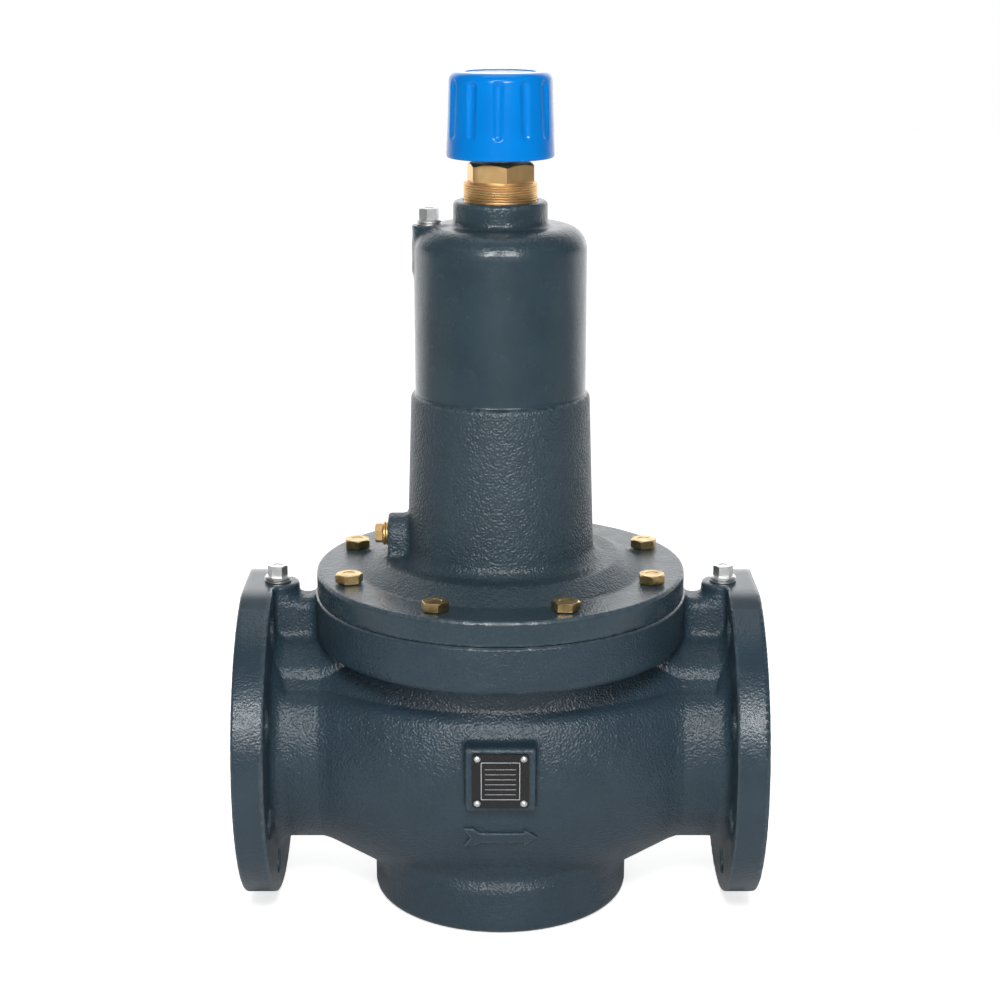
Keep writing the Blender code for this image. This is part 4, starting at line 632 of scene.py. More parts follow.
class Wiring:
    """A node tree with short calls to add nodes and feed their sockets."""

    def __init__(self, tree: bpy.types.NodeTree) -> None:
        """Takes the tree that nodes are added to."""
        self.tree = tree

    def feed(self, target: bpy.types.NodeSocket, source: object) -> None:
        """Links a socket, or sets it where the source is a plain value."""
        if isinstance(source, bpy.types.NodeSocket):
            self.tree.links.new(source, target)
        else:
            target.default_value = source

    def add(self, kind: str, feeds: dict | None = None, **settings: object) -> bpy.types.Node:
        """Adds a node, sets its properties and feeds its sockets.

        Args:
            kind: the node's type.
            feeds: socket name or number to a socket or a plain value.
            settings: properties of the node.

        Returns:
            The node.
        """
        node = self.tree.nodes.new(kind)
        for key, value in settings.items():
            setattr(node, key, value)
        for key, source in (feeds or {}).items():
            self.feed(node.inputs[key], source)
        return node

    def math(self, operation: str, one: object, two: object = 0.0) -> bpy.types.NodeSocket:
        """One operation on two values or sockets."""
        return self.add("ShaderNodeMath", {0: one, 1: two}, operation=operation).outputs[0]

    def noise(self, vector: bpy.types.NodeSocket, scale: object, detail: float) -> bpy.types.NodeSocket:
        """Noise in space, as a value."""
        feeds = {"Vector": vector, "Scale": scale, "Detail": detail}
        return self.add("ShaderNodeTexNoise", feeds).outputs["Fac"]

    def between(
        self, value: object, low: float, high: float, to_low: object, to_high: object
    ) -> bpy.types.NodeSocket:
        """Maps a value from one range to another, held at both ends."""
        feeds = {"Value": value, "From Min": low, "From Max": high, "To Min": to_low, "To Max": to_high}
        return self.add("ShaderNodeMapRange", feeds).outputs["Result"]


class ShaderSheet(Wiring):
    """A material with its Principled shader."""

    def __init__(self, name: str) -> None:
        """Starts an empty material around its shader."""
        self.material = bpy.data.materials.new(name)
        self.material.use_nodes = True
        super().__init__(self.material.node_tree)
        self.shader = self.tree.nodes["Principled BSDF"]
        self.coords = self.add("ShaderNodeTexCoord").outputs["Object"]

    def group(self, tree: bpy.types.NodeTree, **inputs: object) -> bpy.types.NodeOutputs:
        """Places a shared group on the object's coordinates and gives its outputs."""
        return self.add("ShaderNodeGroup", {"Vector": self.coords, **inputs}, node_tree=tree).outputs

    def cloud(self, scale: float, detail: float) -> bpy.types.NodeSocket:
        """Noise over the object, as a value."""
        return self.noise(self.coords, scale, detail)

    def attribute(self, name: str) -> bpy.types.NodeSocket:
        """A point attribute of the piece, as a value."""
        return self.add("ShaderNodeAttribute", attribute_name=name).outputs["Fac"]

    def mixed(self, share: object, one: object, two: object) -> bpy.types.NodeSocket:
        """A mix of two colours, each a socket or three numbers."""
        pair = [(*c, 1.0) if isinstance(c, tuple) else c for c in (one, two)]
        return self.add("ShaderNodeMix", {0: share, 6: pair[0], 7: pair[1]}, data_type="RGBA").outputs[2]

    def bump(self, height: bpy.types.NodeSocket, depth: float) -> None:
        """Feeds a height, in metres when multiplied by depth, to the shader's normal."""
        node = self.add("ShaderNodeBump", {"Strength": 1.0, "Distance": depth, "Height": height})
        self.drive(Normal=node.outputs["Normal"])

    def drive(self, **sources: object) -> None:
        """Links or sets the shader's own sockets, with spaces in their names written as underscores."""
        for key, source in sources.items():
            self.feed(self.shader.inputs[key.replace("_", " ")], source)


class EffectGroup(Wiring):
    """A shader group with a vector and named values going in, and named values coming out."""

    def __init__(self, name: str, inputs: dict[str, float], outputs: Sequence[str]) -> None:
        """Starts a group.

        Args:
            name: the group's name.
            inputs: name and first value of each input after the vector.
            outputs: names of the outputs.
        """
        super().__init__(bpy.data.node_groups.new(name, "ShaderNodeTree"))
        face = self.tree.interface
        face.new_socket(name="Vector", in_out="INPUT", socket_type="NodeSocketVector")
        for label, value in inputs.items():
            socket = face.new_socket(name=label, in_out="INPUT", socket_type="NodeSocketFloat")
            socket.default_value = value
        for label in outputs:
            face.new_socket(name=label, in_out="OUTPUT", socket_type="NodeSocketFloat")
        self.given = self.add("NodeGroupInput").outputs
        self.out = self.add("NodeGroupOutput").inputs


class SharedEffects:
    """Shader groups that several finishes use, each built once."""

    def __init__(self) -> None:
        """Builds the groups."""
        self.cast_skin = self._cast_skin()
        self.turning_marks = self._turning_marks()
        self.handling = self._handling()

    @staticmethod
    def _cast_skin() -> bpy.types.NodeTree:
        """Lumpy sand-cast skin under paint: a height, and a slow change of tone."""
        group = EffectGroup("cast_skin", {"Grain": 300.0, "Machined": 0.0}, ["Height", "Tone"])
        vector, grain, machined = (group.given[key] for key in ("Vector", "Grain", "Machined"))
        pits = group.noise(vector, grain, 0.5)
        lumps = group.noise(vector, group.math("MULTIPLY", grain, 0.37), 1.0)
        waves = group.noise(vector, 38.0, 2.0)
        rough = group.math("ADD", group.math("MULTIPLY", lumps, 0.6), pits)
        kept = group.math("SUBTRACT", 1.0, group.math("MULTIPLY", machined, 0.93))
        height = group.math("MULTIPLY", rough, kept)
        height = group.math("ADD", height, group.math("MULTIPLY", waves, 0.5))
        group.feed(group.out["Height"], height)
        tone = group.math("ADD", waves, group.math("MULTIPLY", lumps, 0.35))
        group.feed(group.out["Tone"], tone)
        return group.tree

    @staticmethod
    def _turning_marks() -> bpy.types.NodeTree:
        """Fine lathe rings about the stem axis, broken up by noise."""
        group = EffectGroup("turning_marks", {"Pitch": 2500.0}, ["Height", "Shade"])
        vector = group.given["Vector"]
        x, y, z = group.add("ShaderNodeSeparateXYZ", {0: vector}).outputs
        square = group.math("ADD", group.math("MULTIPLY", x, x), group.math("MULTIPLY", y, y))
        travel = group.math("ADD", group.math("SQRT", square), z)
        feeds = {"W": travel, "Scale": group.given["Pitch"], "Detail": 2.0}
        line = group.add("ShaderNodeTexNoise", feeds, noise_dimensions="1D").outputs["Fac"]
        group.feed(group.out["Height"], line)
        cloud = group.noise(vector, 160.0, 2.0)
        group.feed(group.out["Shade"], group.math("ADD", group.math("MULTIPLY", line, 0.5), cloud))
        return group.tree

    @staticmethod
    def _handling() -> bpy.types.NodeTree:
        """Faint smears and small scuffs from handling, as a mask."""
        group = EffectGroup("handling_marks", {"Amount": 0.3}, ["Mask"])
        smear = group.noise(group.given["Vector"], 55.0, 5.0)
        scuff = group.noise(group.given["Vector"], 900.0, 2.0)
        both = group.math("MULTIPLY", smear, scuff)
        group.feed(group.out["Mask"], group.math("MULTIPLY", both, group.given["Amount"]))
        return group.tree


@dataclass(frozen=True)
class CastPaint:
    """Slate paint over a cast skin, with smoother machined zones, edges lightened for wear and a painted
    highlight, and painted shade in the hollows.
    """

    name: str
    colour: tuple[float, float, float]
    # colour of lightened edges: worn paint and a painted highlight
    wear_and_sheen_colour: tuple[float, float, float]
    grain: float
    depth: float
    dark: float = 0.86
    # share of the paint colour left in hollows and creases: painted shade
    hollow: float = 0.6
    roughness: tuple[float, float] = (0.36, 0.44)
    polish: float = 0.62

    def material(self, effects: SharedEffects) -> bpy.types.Material:
        """Builds the finish.

        Args:
            effects: the shared shader groups.

        Returns:
            The material.
        """
        sheet = ShaderSheet(self.name)
        machined = sheet.attribute("machined")
        edge = sheet.attribute("edge")
        skin = sheet.group(effects.cast_skin, Grain=self.grain, Machined=machined)
        tone = sheet.between(skin["Tone"], 0.5, 0.85, 0.0, 1.0)
        base = sheet.mixed(tone, tuple(self.dark * c for c in self.colour), self.colour)
        # Painted shade: the paint is darkened where the surface bends inward, in hollows and creases.
        crease_shade_mask = sheet.between(edge, -0.5, -0.08, 0.72, 1.0)
        shaded = sheet.mixed(crease_shade_mask, tuple(self.hollow * c for c in self.colour), base)
        # Edges that bend outward are lightened, partly as worn paint and partly as a painted highlight.
        edge_wear_and_sheen = sheet.between(edge, 0.18, 0.75, 0.0, 0.55)
        patches = sheet.between(sheet.cloud(240.0, 3.0), 0.35, 0.7, 0.3, 1.0)
        wear_and_sheen = sheet.math("MULTIPLY", edge_wear_and_sheen, patches)
        rough = sheet.between(sheet.cloud(90.0, 4.0), 0.3, 0.7, *self.roughness)
        smooth = sheet.between(machined, 0.0, 1.0, 1.0, self.polish)
        sheet.drive(
            Base_Color=sheet.mixed(wear_and_sheen, shaded, self.wear_and_sheen_colour),
            Roughness=sheet.math("MULTIPLY", rough, smooth),
            Specular_IOR_Level=0.5,
        )
        sheet.bump(skin["Height"], self.depth)
        return sheet.material


@dataclass(frozen=True)
class TurnedMetal:
    """Bare or plated metal with lathe marks, tone clouds and handling marks."""

    name: str
    colour: tuple[float, float, float]
    dark: tuple[float, float, float]
    roughness: tuple[float, float]
    pitch: float = 2500.0
    depth: float = 0.00003

    def material(self, effects: SharedEffects) -> bpy.types.Material:
        """Builds the finish.

        Args:
            effects: the shared shader groups.

        Returns:
            The material.
        """
        sheet = ShaderSheet(self.name)
        marks = sheet.group(effects.turning_marks, Pitch=self.pitch)
        smears = sheet.group(effects.handling, Amount=0.9)
        tone = sheet.between(marks["Shade"], 0.45, 1.0, 0.0, 1.0)
        sheet.drive(
            Base_Color=sheet.mixed(tone, self.dark, self.colour),
            Roughness=sheet.between(smears["Mask"], 0.08, 0.38, *self.roughness),
            Metallic=1.0,
        )
        sheet.bump(marks["Height"], self.depth)
        return sheet.material


@dataclass(frozen=True)
class MouldedPlastic:
    """Injection-moulded plastic with a faint grain and uneven gloss."""

    name: str
    colour: tuple[float, float, float]
    dark: tuple[float, float, float]
    roughness: tuple[float, float]
    specular: float = 0.5
    depth: float = 0.00002

    def material(self, effects: SharedEffects) -> bpy.types.Material:
        """Builds the finish.

        Args:
            effects: the shared shader groups.

        Returns:
            The material.
        """
        sheet = ShaderSheet(self.name)
        tone = sheet.between(sheet.cloud(28.0, 3.0), 0.3, 0.7, 0.0, 1.0)
        smears = sheet.group(effects.handling, Amount=1.0)
        sheet.drive(
            Base_Color=sheet.mixed(tone, self.dark, self.colour),
            Roughness=sheet.between(smears["Mask"], 0.1, 0.4, *self.roughness),
            Specular_IOR_Level=self.specular,
        )
        sheet.bump(sheet.cloud(1400.0, 2.0), self.depth)
        return sheet.material


@dataclass(frozen=True)
class SoftRubber:
    """Black rubber with a dusty bloom and a fine moulded grain."""

    name: str
    colour: tuple[float, float, float]
    depth: float = 0.00005

    def material(self, effects: SharedEffects) -> bpy.types.Material:
        """Builds the finish.

        Args:
            effects: the shared shader groups.

        Returns:
            The material.
        """
        sheet = ShaderSheet(self.name)
        smears = sheet.group(effects.handling, Amount=1.0)
        bloom = sheet.between(smears["Mask"], 0.15, 0.45, 0.0, 0.5)
        sheet.drive(
            Base_Color=sheet.mixed(bloom, self.colour, tuple(3.0 * c + 0.01 for c in self.colour)),
            Roughness=sheet.between(sheet.cloud(300.0, 3.0), 0.3, 0.7, 0.55, 0.75),
        )
        sheet.bump(sheet.cloud(1100.0, 3.0), self.depth)
        return sheet.material


class Finishes:
    """Every finish of the valve, built once."""

    def __init__(self, effects: SharedEffects) -> None:
        """Builds the materials.

        Args:
            effects: the shared shader groups.
        """
        slate = (0.025, 0.047, 0.066)
        blue_slate = (0.032, 0.055, 0.071)
        # colour of the lightened edges: worn paint and a painted highlight
        wear_and_sheen_slate = (0.105, 0.132, 0.155)
        body = CastPaint("body_paint", slate, wear_and_sheen_slate, 700.0, 0.00055)
        bonnet = CastPaint("bonnet_paint", blue_slate, wear_and_sheen_slate, 660.0, 0.00075)
        steel = TurnedMetal("turned_steel", (0.60, 0.60, 0.59), (0.46, 0.46, 0.46), (0.30, 0.46))
        zinc = TurnedMetal("bright_zinc", (0.88, 0.89, 0.88), (0.74, 0.75, 0.75), (0.38, 0.52), 1800.0)
        gold = TurnedMetal("yellow_zinc", (0.70, 0.52, 0.25), (0.36, 0.23, 0.09), (0.28, 0.44), 1500.0)
        brass = TurnedMetal("turned_brass", (0.96, 0.65, 0.31), (0.84, 0.55, 0.24), (0.40, 0.52), 2200.0)
        spring = TurnedMetal("oiled_spring", (0.20, 0.20, 0.21), (0.11, 0.11, 0.12), (0.32, 0.5), 700.0)
        blue = MouldedPlastic("blue_knob", (0.0, 0.205, 0.66), (0.0, 0.18, 0.60), (0.12, 0.20), 0.3)
        pale = MouldedPlastic("pale_cap", (0.60, 0.66, 0.74), (0.54, 0.60, 0.69), (0.3, 0.45))
        black = MouldedPlastic("black_plate", (0.010, 0.010, 0.011), (0.007, 0.007, 0.008), (0.22, 0.36))
        rule = MouldedPlastic("pale_rules", (0.55, 0.55, 0.56), (0.48, 0.48, 0.49), (0.4, 0.55))
        self.body_paint = body.material(effects)
        self.bonnet_paint = bonnet.material(effects)
        self.steel = steel.material(effects)
        self.zinc = zinc.material(effects)
        self.gold_zinc = gold.material(effects)
        self.brass = brass.material(effects)
        self.spring = spring.material(effects)
        self.blue = blue.material(effects)
        self.pale = pale.material(effects)
        self.black = black.material(effects)
        self.rule = rule.material(effects)
        self.rubber = SoftRubber("black_rubber", (0.016, 0.016, 0.018)).material(effects)


class NodeSheet(Wiring):
    """A Geometry Nodes tree with named inputs."""

    def __init__(self, name: str, inputs: dict[str, str]) -> None:
        """Starts a tree.

        Args:
            name: the tree's name.
            inputs: name and kind of each input between the geometry and the material.
        """
        super().__init__(bpy.data.node_groups.new(name, "GeometryNodeTree"))
        face = self.tree.interface
        for label, kind in {"Geometry": "Geometry", **inputs, "Material": "Material"}.items():
            face.new_socket(name=label, in_out="INPUT", socket_type=f"NodeSocket{kind}")
        face.new_socket(name="Geometry", in_out="OUTPUT", socket_type="NodeSocketGeometry")
        self.given = self.add("NodeGroupInput").outputs
        self.out = self.add("NodeGroupOutput").inputs

    def lifted(self, height: bpy.types.NodeSocket) -> bpy.types.NodeSocket:
        """A vector along the stem axis."""
        return self.add("ShaderNodeCombineXYZ", {2: height}).outputs[0]

    def close(self, geometry: bpy.types.NodeSocket) -> None:
        """Ends the tree with real geometry and its material."""
        real = self.add("GeometryNodeRealizeInstances", {0: geometry}).outputs[0]
        feeds = {"Geometry": real, "Material": self.given["Material"]}
        self.feed(self.out[0], self.add("GeometryNodeSetMaterial", feeds).outputs[0])

    def apply(self, piece: bpy.types.Object, **values: object) -> None:
        """Runs the tree on a piece and keeps the result as a plain mesh.

        Args:
            piece: the object that the tree works on.
            values: inputs by name.
        """
        step = piece.modifiers.new(self.tree.name, "NODES")
        step.node_group = self.tree
        for item in self.tree.interface.items_tree:
            if item.in_out == "INPUT" and item.name in values:
                step[item.identifier] = values[item.name]
        bake(piece)


class Repeats:
    """The trees that repeat a part around a circle or on a grid, or sweep a wire along a helix."""

    def __init__(self) -> None:
        """Builds the trees."""
        self.ring = self._ring()
        self.grid = self._grid()
        self.helix = self._helix()

    @staticmethod
    def _ring() -> NodeSheet:
        """Copies on a circle about the stem axis, each turned by chance."""
        inputs = {"Count": "Int", "Radius": "Float", "Height": "Float", "Phase": "Float", "Seed": "Int"}
        sheet = NodeSheet("ring_of_copies", inputs)
        given = sheet.given
        circle_feeds = {"Vertices": given["Count"], "Radius": given["Radius"]}
        ring = sheet.add("GeometryNodeMeshCircle", circle_feeds)
        placed_feeds = {
            "Geometry": ring.outputs[0],
            "Translation": sheet.lifted(given["Height"]),
            "Rotation": sheet.lifted(given["Phase"]),
        }
        placed_ring = sheet.add("GeometryNodeTransform", placed_feeds)
        span = {0: (0.0, 0.0, 0.0), 1: (0.0, 0.0, 6.2832), "Seed": given["Seed"]}
        chance = sheet.add("FunctionNodeRandomValue", span, data_type="FLOAT_VECTOR")
        copy_feeds = {
            "Points": placed_ring.outputs[0],
            "Instance": given["Geometry"],
            "Rotation": chance.outputs[0],
        }
        sheet.close(sheet.add("GeometryNodeInstanceOnPoints", copy_feeds).outputs[0])
        return sheet

    @staticmethod
    def _grid() -> NodeSheet:
        """Copies on a grid of rows and columns, set at a centre."""
        inputs = {"Columns": "Int", "Rows": "Int", "Width": "Float", "Depth": "Float"}
        sheet = NodeSheet("grid_of_copies", {**inputs, "Centre": "Vector", "Tilt": "Vector"})
        given = sheet.given
        grid_feeds = {
            "Size X": given["Width"],
            "Size Y": given["Depth"],
            "Vertices X": given["Columns"],
            "Vertices Y": given["Rows"],
        }
        grid = sheet.add("GeometryNodeMeshGrid", grid_feeds)
        copy_feeds = {"Points": grid.outputs[0], "Instance": given["Geometry"]}
        copies = sheet.add("GeometryNodeInstanceOnPoints", copy_feeds)
        placed_feeds = {
            "Geometry": copies.outputs[0],
            "Translation": given["Centre"],
            "Rotation": given["Tilt"],
        }
        sheet.close(sheet.add("GeometryNodeTransform", placed_feeds).outputs[0])
        return sheet

    @staticmethod
    def _helix() -> NodeSheet:
        """A wire or ridge swept along a helix about the stem axis."""
        inputs = {"Turns": "Float", "Points": "Int", "Radius": "Float", "Rise": "Float"}
        sheet = NodeSheet("helix_sweep", {**inputs, "Start": "Float", "Wire": "Float", "Sides": "Int"})
        given = sheet.given
        spiral_feeds = {
            "Resolution": given["Points"],
            "Rotations": given["Turns"],
            "Start Radius": given["Radius"],
            "End Radius": given["Radius"],
            "Height": given["Rise"],
        }
        spiral = sheet.add("GeometryNodeCurveSpiral", spiral_feeds)
        section_feeds = {"Resolution": given["Sides"], "Radius": given["Wire"]}
        section = sheet.add("GeometryNodeCurvePrimitiveCircle", section_feeds)
        sweep_feeds = {
            "Curve": spiral.outputs[0],
            "Profile Curve": section.outputs[0],
            "Fill Caps": True,
        }
        swept = sheet.add("GeometryNodeCurveToMesh", sweep_feeds)
        placed_feeds = {"Geometry": swept.outputs[0], "Translation": sheet.lifted(given["Start"])}
        sheet.close(sheet.add("GeometryNodeTransform", placed_feeds).outputs[0])
        return sheet


@dataclass
class BodyCasting:
    """The cast body: barrel, necks, pipe flanges, top flange, base, bosses, ribs and pad."""

    face_x: float = 0.175
    flange_x: float = 0.172
    back_x: float = 0.151
    neck_x: float = 0.114
    shoulder_x: float = 0.086
    raised_face: float = 0.078
    flange: float = 0.110
    flange_edge: float = 0.0015
    neck: float = 0.0725
    neck_fillet: float = 0.009
    shoulder: float = 0.088
    crown: float = 0.108
    wall: float = 0.009
    bore: float = 0.050
    flat_x: float = 0.132
    flat_z: float = AXIS_Z + 0.1066
    top_z: float = AXIS_Z + 0.1012
    top_flange: float = 0.124
    top_depth: float = 0.0325
    groove: float = 0.0925
    groove_low: float = 0.1588
    groove_high: float = 0.210
    groove_depth: float = 0.0035
    groove_y: float = 0.045
    base: float = 0.0866
    waist: float = 0.0830
    boss_x: float = 0.150
    boss_z: float = 0.170
    boss: float = 0.0145
    rib_low: tuple[float, float, float] = (0.100, -0.0135, 0.165)
    rib_high: tuple[float, float, float] = (0.150, 0.0135, AXIS_Z + 0.0970)
    pad_low: tuple[float, float, float] = (-0.0226, -0.1153, 0.1006)
    pad_high: tuple[float, float, float] = (0.0226, -0.060, 0.1434)
    bridge: Outline = ((-0.118, 0.200), (-0.055, 0.097), (0.055, 0.097), (0.118, 0.024))
    bridge_half: float = 0.005
    seat_hole: float = 0.044
    bolt_count: int = 8
    pipe_bolts: float = 0.090
    pipe_bolt_hole: float = 0.0095
    bonnet_bolts: float = 0.1071
    tapped_hole: float = 0.0053
    plug_hole: float = 0.0063
    drilling: float = 0.003
    arrow_drop: float = 0.035
    inner_depth: float = 0.004
    step: float = 0.00245

    def barrel(self, inset: float) -> list[tuple[float, float]]:
        """The barrel's bow between its shoulders.

        Args:
            inset: distance in from the outside.

        Returns:
            Points as (radius, x), from the outlet side to the inlet side.
        """
        rise = self.crown - self.shoulder
        bow = (self.shoulder_x**2 + rise**2) / (2 * rise)
        half = math.degrees(math.asin(self.shoulder_x / bow))
        return arc((self.crown - bow, 0.0), bow - inset, half, -half, 14)

    def _mirrored(self, side: list[tuple[float, float]], middle: list[tuple[float, float]]) -> list:
        """A profile from its outlet half and its middle."""
        return side + middle + [(r, -x) for r, x in reversed(side)]

    def outside(self, points: np.ndarray) -> np.ndarray:
        """Distance to the cast outside, before anything is cut.

        Args:
            points: places as rows of x, y, z.

        Returns:
            One distance for each point.
        """
        x, y, z = points[:, 0], points[:, 1], points[:, 2]
        edge, root = self.flange_edge, self.neck_fillet
        side = [(OPEN, self.face_x), (self.raised_face, self.face_x), (self.raised_face, self.flange_x)]
        side += arc((self.flange - edge, self.flange_x - edge), edge, 90, 0, 3)
        side += arc((self.flange - edge, self.back_x + edge), edge, 0, -90, 3)
        side += arc((self.neck + root, self.back_x - root), root, 90, 180, 5)
        side += [(self.neck, self.neck_x + 0.006), (self.neck + 0.002, self.neck_x)]
        whole = turned_distance(self._mirrored(side, self.barrel(0.0)), points, Axis.PIPE)
        whole = self._grooved(whole, points)
        whole = smooth_union(whole, turned_distance(self._top_outline(), points, Axis.STEM), 0.008)
        whole = smooth_union(whole, turned_distance(self._base_outline(), points, Axis.STEM), 0.007)
        beside = np.hypot(np.abs(x) - self.boss_x, y)
        boss = rod_distance(beside, z, self.boss, self.boss_z, self.flat_z + 0.02)
        whole = smooth_union(whole, boss, 0.004)
        folded_points = np.stack([np.abs(x), y, z], axis=1)
        whole = smooth_union(whole, block_distance(folded_points, self.rib_low, self.rib_high, 0.007), 0.006)
        return smooth_union(whole, block_distance(points, self.pad_low, self.pad_high, 0.0028), 0.0035)

    def _grooved(self, whole: np.ndarray, points: np.ndarray) -> np.ndarray:
        """Cuts the shallow groove under the top flange, at the front and the back.

        Args:
            whole: the field that is cut.
            points: places as rows of x, y, z.

        Returns:
            The cut field's values.
        """
        low, high, out = self.groove_low, self.groove_high, 0.150
        ring = [(self.groove, low), (out, low), (out, high), (self.groove, high)]
        cut = turned_distance(ring, points, Axis.STEM)
        cut = np.maximum(cut, self.groove_y - np.abs(points[:, 1]))
        return smooth_cut(whole, np.maximum(cut, -self.groove_depth - whole), 0.009)

    def _top_outline(self) -> list[tuple[float, float]]:
        """The top flange's profile with its softened edges."""
        low = self.top_z - self.top_depth
        crisp, soft, under = 0.0006, 0.0065, 0.006
        profile = [(OPEN, self.top_z)]
        profile += arc((self.top_flange - crisp, self.top_z - crisp), crisp, 90, 0, 2)
        profile += arc((self.top_flange - soft, low + soft), soft, 0, -90, 5)
        profile += arc((0.0985, low - under), under, 90, 180, 4)
        return profile + [(0.0920, 0.140), (OPEN, 0.140)]

    def _base_outline(self) -> list[tuple[float, float]]:
        """The base's profile, with the soft ledge above its foot."""
        middle, half = (self.base + self.waist) / 2, (self.base - self.waist) / 2
        turns = np.linspace(0.0, 1.0, 9)
        ledge = [(middle - half * math.cos(math.pi * a), 0.0400 - 0.0115 * a) for a in turns]
        foot = arc((self.base - 0.005, 0.005), 0.005, 0, -90, 5)
        return [(OPEN, 0.060), (self.waist, 0.060), *ledge, *foot, (OPEN, 0.0)]

    def passages(self, points: np.ndarray) -> np.ndarray:
        """Distance to the flow space, divided by the bridge that holds the seat.

        Args:
            points: places as rows of x, y, z.

        Returns:
            One distance for each point.
        """
        x, z = points[:, 0], points[:, 2]
        side = [(OPEN, 0.18), (self.bore, 0.18), (self.bore, self.neck_x + self.wall)]
        space = turned_distance(self._mirrored(side, self.barrel(self.wall)), points, Axis.PIPE)
        pot = [(OPEN, 0.085), (0.076, 0.085), (0.076, 0.012), (OPEN, 0.012)]
        space = smooth_union(space, turned_distance(pot, points, Axis.STEM), 0.006)
        near = np.full(x.shape, FAR, dtype=points.dtype)
        for (ax, az), (bx, bz) in zip(self.bridge, self.bridge[1:]):
            ex, ez = bx - ax, bz - az
            share = np.clip(((x - ax) * ex + (z - az) * ez) / (ex * ex + ez * ez), 0.0, 1.0)
            near = np.minimum(near, np.hypot(x - ax - ex * share, z - az - ez * share))
        seat = np.hypot(x, points[:, 1]) - self.seat_hole
        return np.maximum(space, -np.maximum(near - self.bridge_half, -seat))

    def distance(self, points: np.ndarray) -> np.ndarray:
        """Distance to the whole casting.

        Args:
            points: places as rows of x, y, z.

        Returns:
            One distance for each point.
        """
        x, y, z = points[:, 0], points[:, 1], points[:, 2]
        casting = self.outside(points)
        flats = np.maximum(self.flat_x - np.abs(x), self.flat_z - z)
        casting = smooth_cut(casting, flats, 0.0022)
        casting = np.maximum(casting, -self.passages(points))
        opening = [(OPEN, 0.24), (0.0994, 0.24), (0.0994, 0.2096), (0.0914, 0.2096), (0.0914, 0.1937)]
        opening += [(0.0871, 0.1937), (0.0871, 0.162), (OPEN, 0.162)]
        casting = np.maximum(casting, -turned_distance(opening, points, Axis.STEM))
        half_pitch = math.pi / self.bolt_count
        across, up = folded(z - AXIS_Z, y, self.bolt_count, half_pitch)
        bolt_hole = np.hypot(across - self.pipe_bolts, up) - self.pipe_bolt_hole
        bolt_hole = np.maximum(bolt_hole, self.back_x - 0.005 - np.abs(x))
        casting = smooth_cut(casting, bolt_hole, 0.0016)
        across, up = folded(x, y, self.bolt_count, half_pitch)
        tapped = rod_distance(np.hypot(across - self.bonnet_bolts, up), z, self.tapped_hole, 0.190, 0.230)
        casting = np.maximum(casting, -tapped)
        beside = np.hypot(np.abs(x) - self.boss_x, y)
        thread = rod_distance(beside, z, self.plug_hole, self.flat_z - 0.013, self.flat_z + 0.01)
        drilled = rod_distance(beside, z, self.drilling, 0.158, self.flat_z)
        return np.maximum(casting, -np.minimum(thread, drilled))

    def machined(self, points: np.ndarray) -> np.ndarray:
        """How far each point lies on a turned or milled surface, from 0 to 1.

        Args:
            points: places as rows of x, y, z.

        Returns:
            One share for each point.
        """
        x, z = np.abs(points[:, 0]), points[:, 2]
        face = np.clip((x - self.flange_x + 0.0015) / 0.001, 0.0, 1.0)
        rim = np.hypot(points[:, 1], z - AXIS_Z) - self.flange + self.flange_edge
        rim = np.clip(rim / 0.001, 0.0, 1.0)
        rim *= np.clip((x - self.back_x + 0.003) / 0.002, 0.0, 1.0)
        top = np.clip((z - self.top_z + 0.0015) / 0.001, 0.0, 1.0)
        foot = np.clip((0.002 - z) / 0.001, 0.0, 1.0)
        return np.maximum.reduce([face, 0.6 * rim, top, foot])

    def build(self) -> bpy.types.Object:
        """Makes the casting.

        Returns:
            The object, with the point attribute machined.
        """
        low = (-self.face_x, -self.top_flange, 0.0)
        high = (self.face_x, self.top_flange, self.flat_z)
        casting = Moulding("valve_casting", self.distance, low, high, self.step)
        casting.inner = lambda points: self.outside(points) < -self.inner_depth
        piece = casting.build()
        mark_machined(piece, self.machined)
        return piece

    def arrow(self) -> bpy.types.Object:
        """The raised flow arrow on the barrel's front.

        Returns:
            The object.
        """
        upper = [(0.0242, 0.0), (0.0147, 0.0074), (0.0147, 0.0042), (-0.0132, 0.0042), (-0.0174, 0.0074)]
        upper += [(-0.0244, 0.0074), (-0.0200, 0.0)]
        outline = upper + [(a, -b) for a, b in reversed(upper[1:-1])]
        barrel = [(OPEN, 0.06), *[(r, x) for r, x in self.barrel(0.0) if abs(x) < 0.06], (OPEN, -0.06)]
        middle_z = AXIS_Z - self.arrow_drop

        def distance(points: np.ndarray) -> np.ndarray:
            """Distance to the arrow, which is rooted a little inside the barrel."""
            shape = outline_distance(outline, points[:, 0], points[:, 2] - middle_z)
            skin = turned_distance(barrel, points, Axis.PIPE)
            raised = -smooth_union(-(shape + 0.0002), -(skin - 0.0018), 0.0012)
            return np.maximum(raised, -skin - 0.002)

        low = (-0.0258, -0.1105, middle_z - 0.0085)
        high = (0.0258, -0.0955, middle_z + 0.0085)
        piece = Moulding("flow_arrow", distance, low, high, 0.00055).build()
        mark_machined(piece, lambda points: np.full(len(points), 0.25))
        return piece


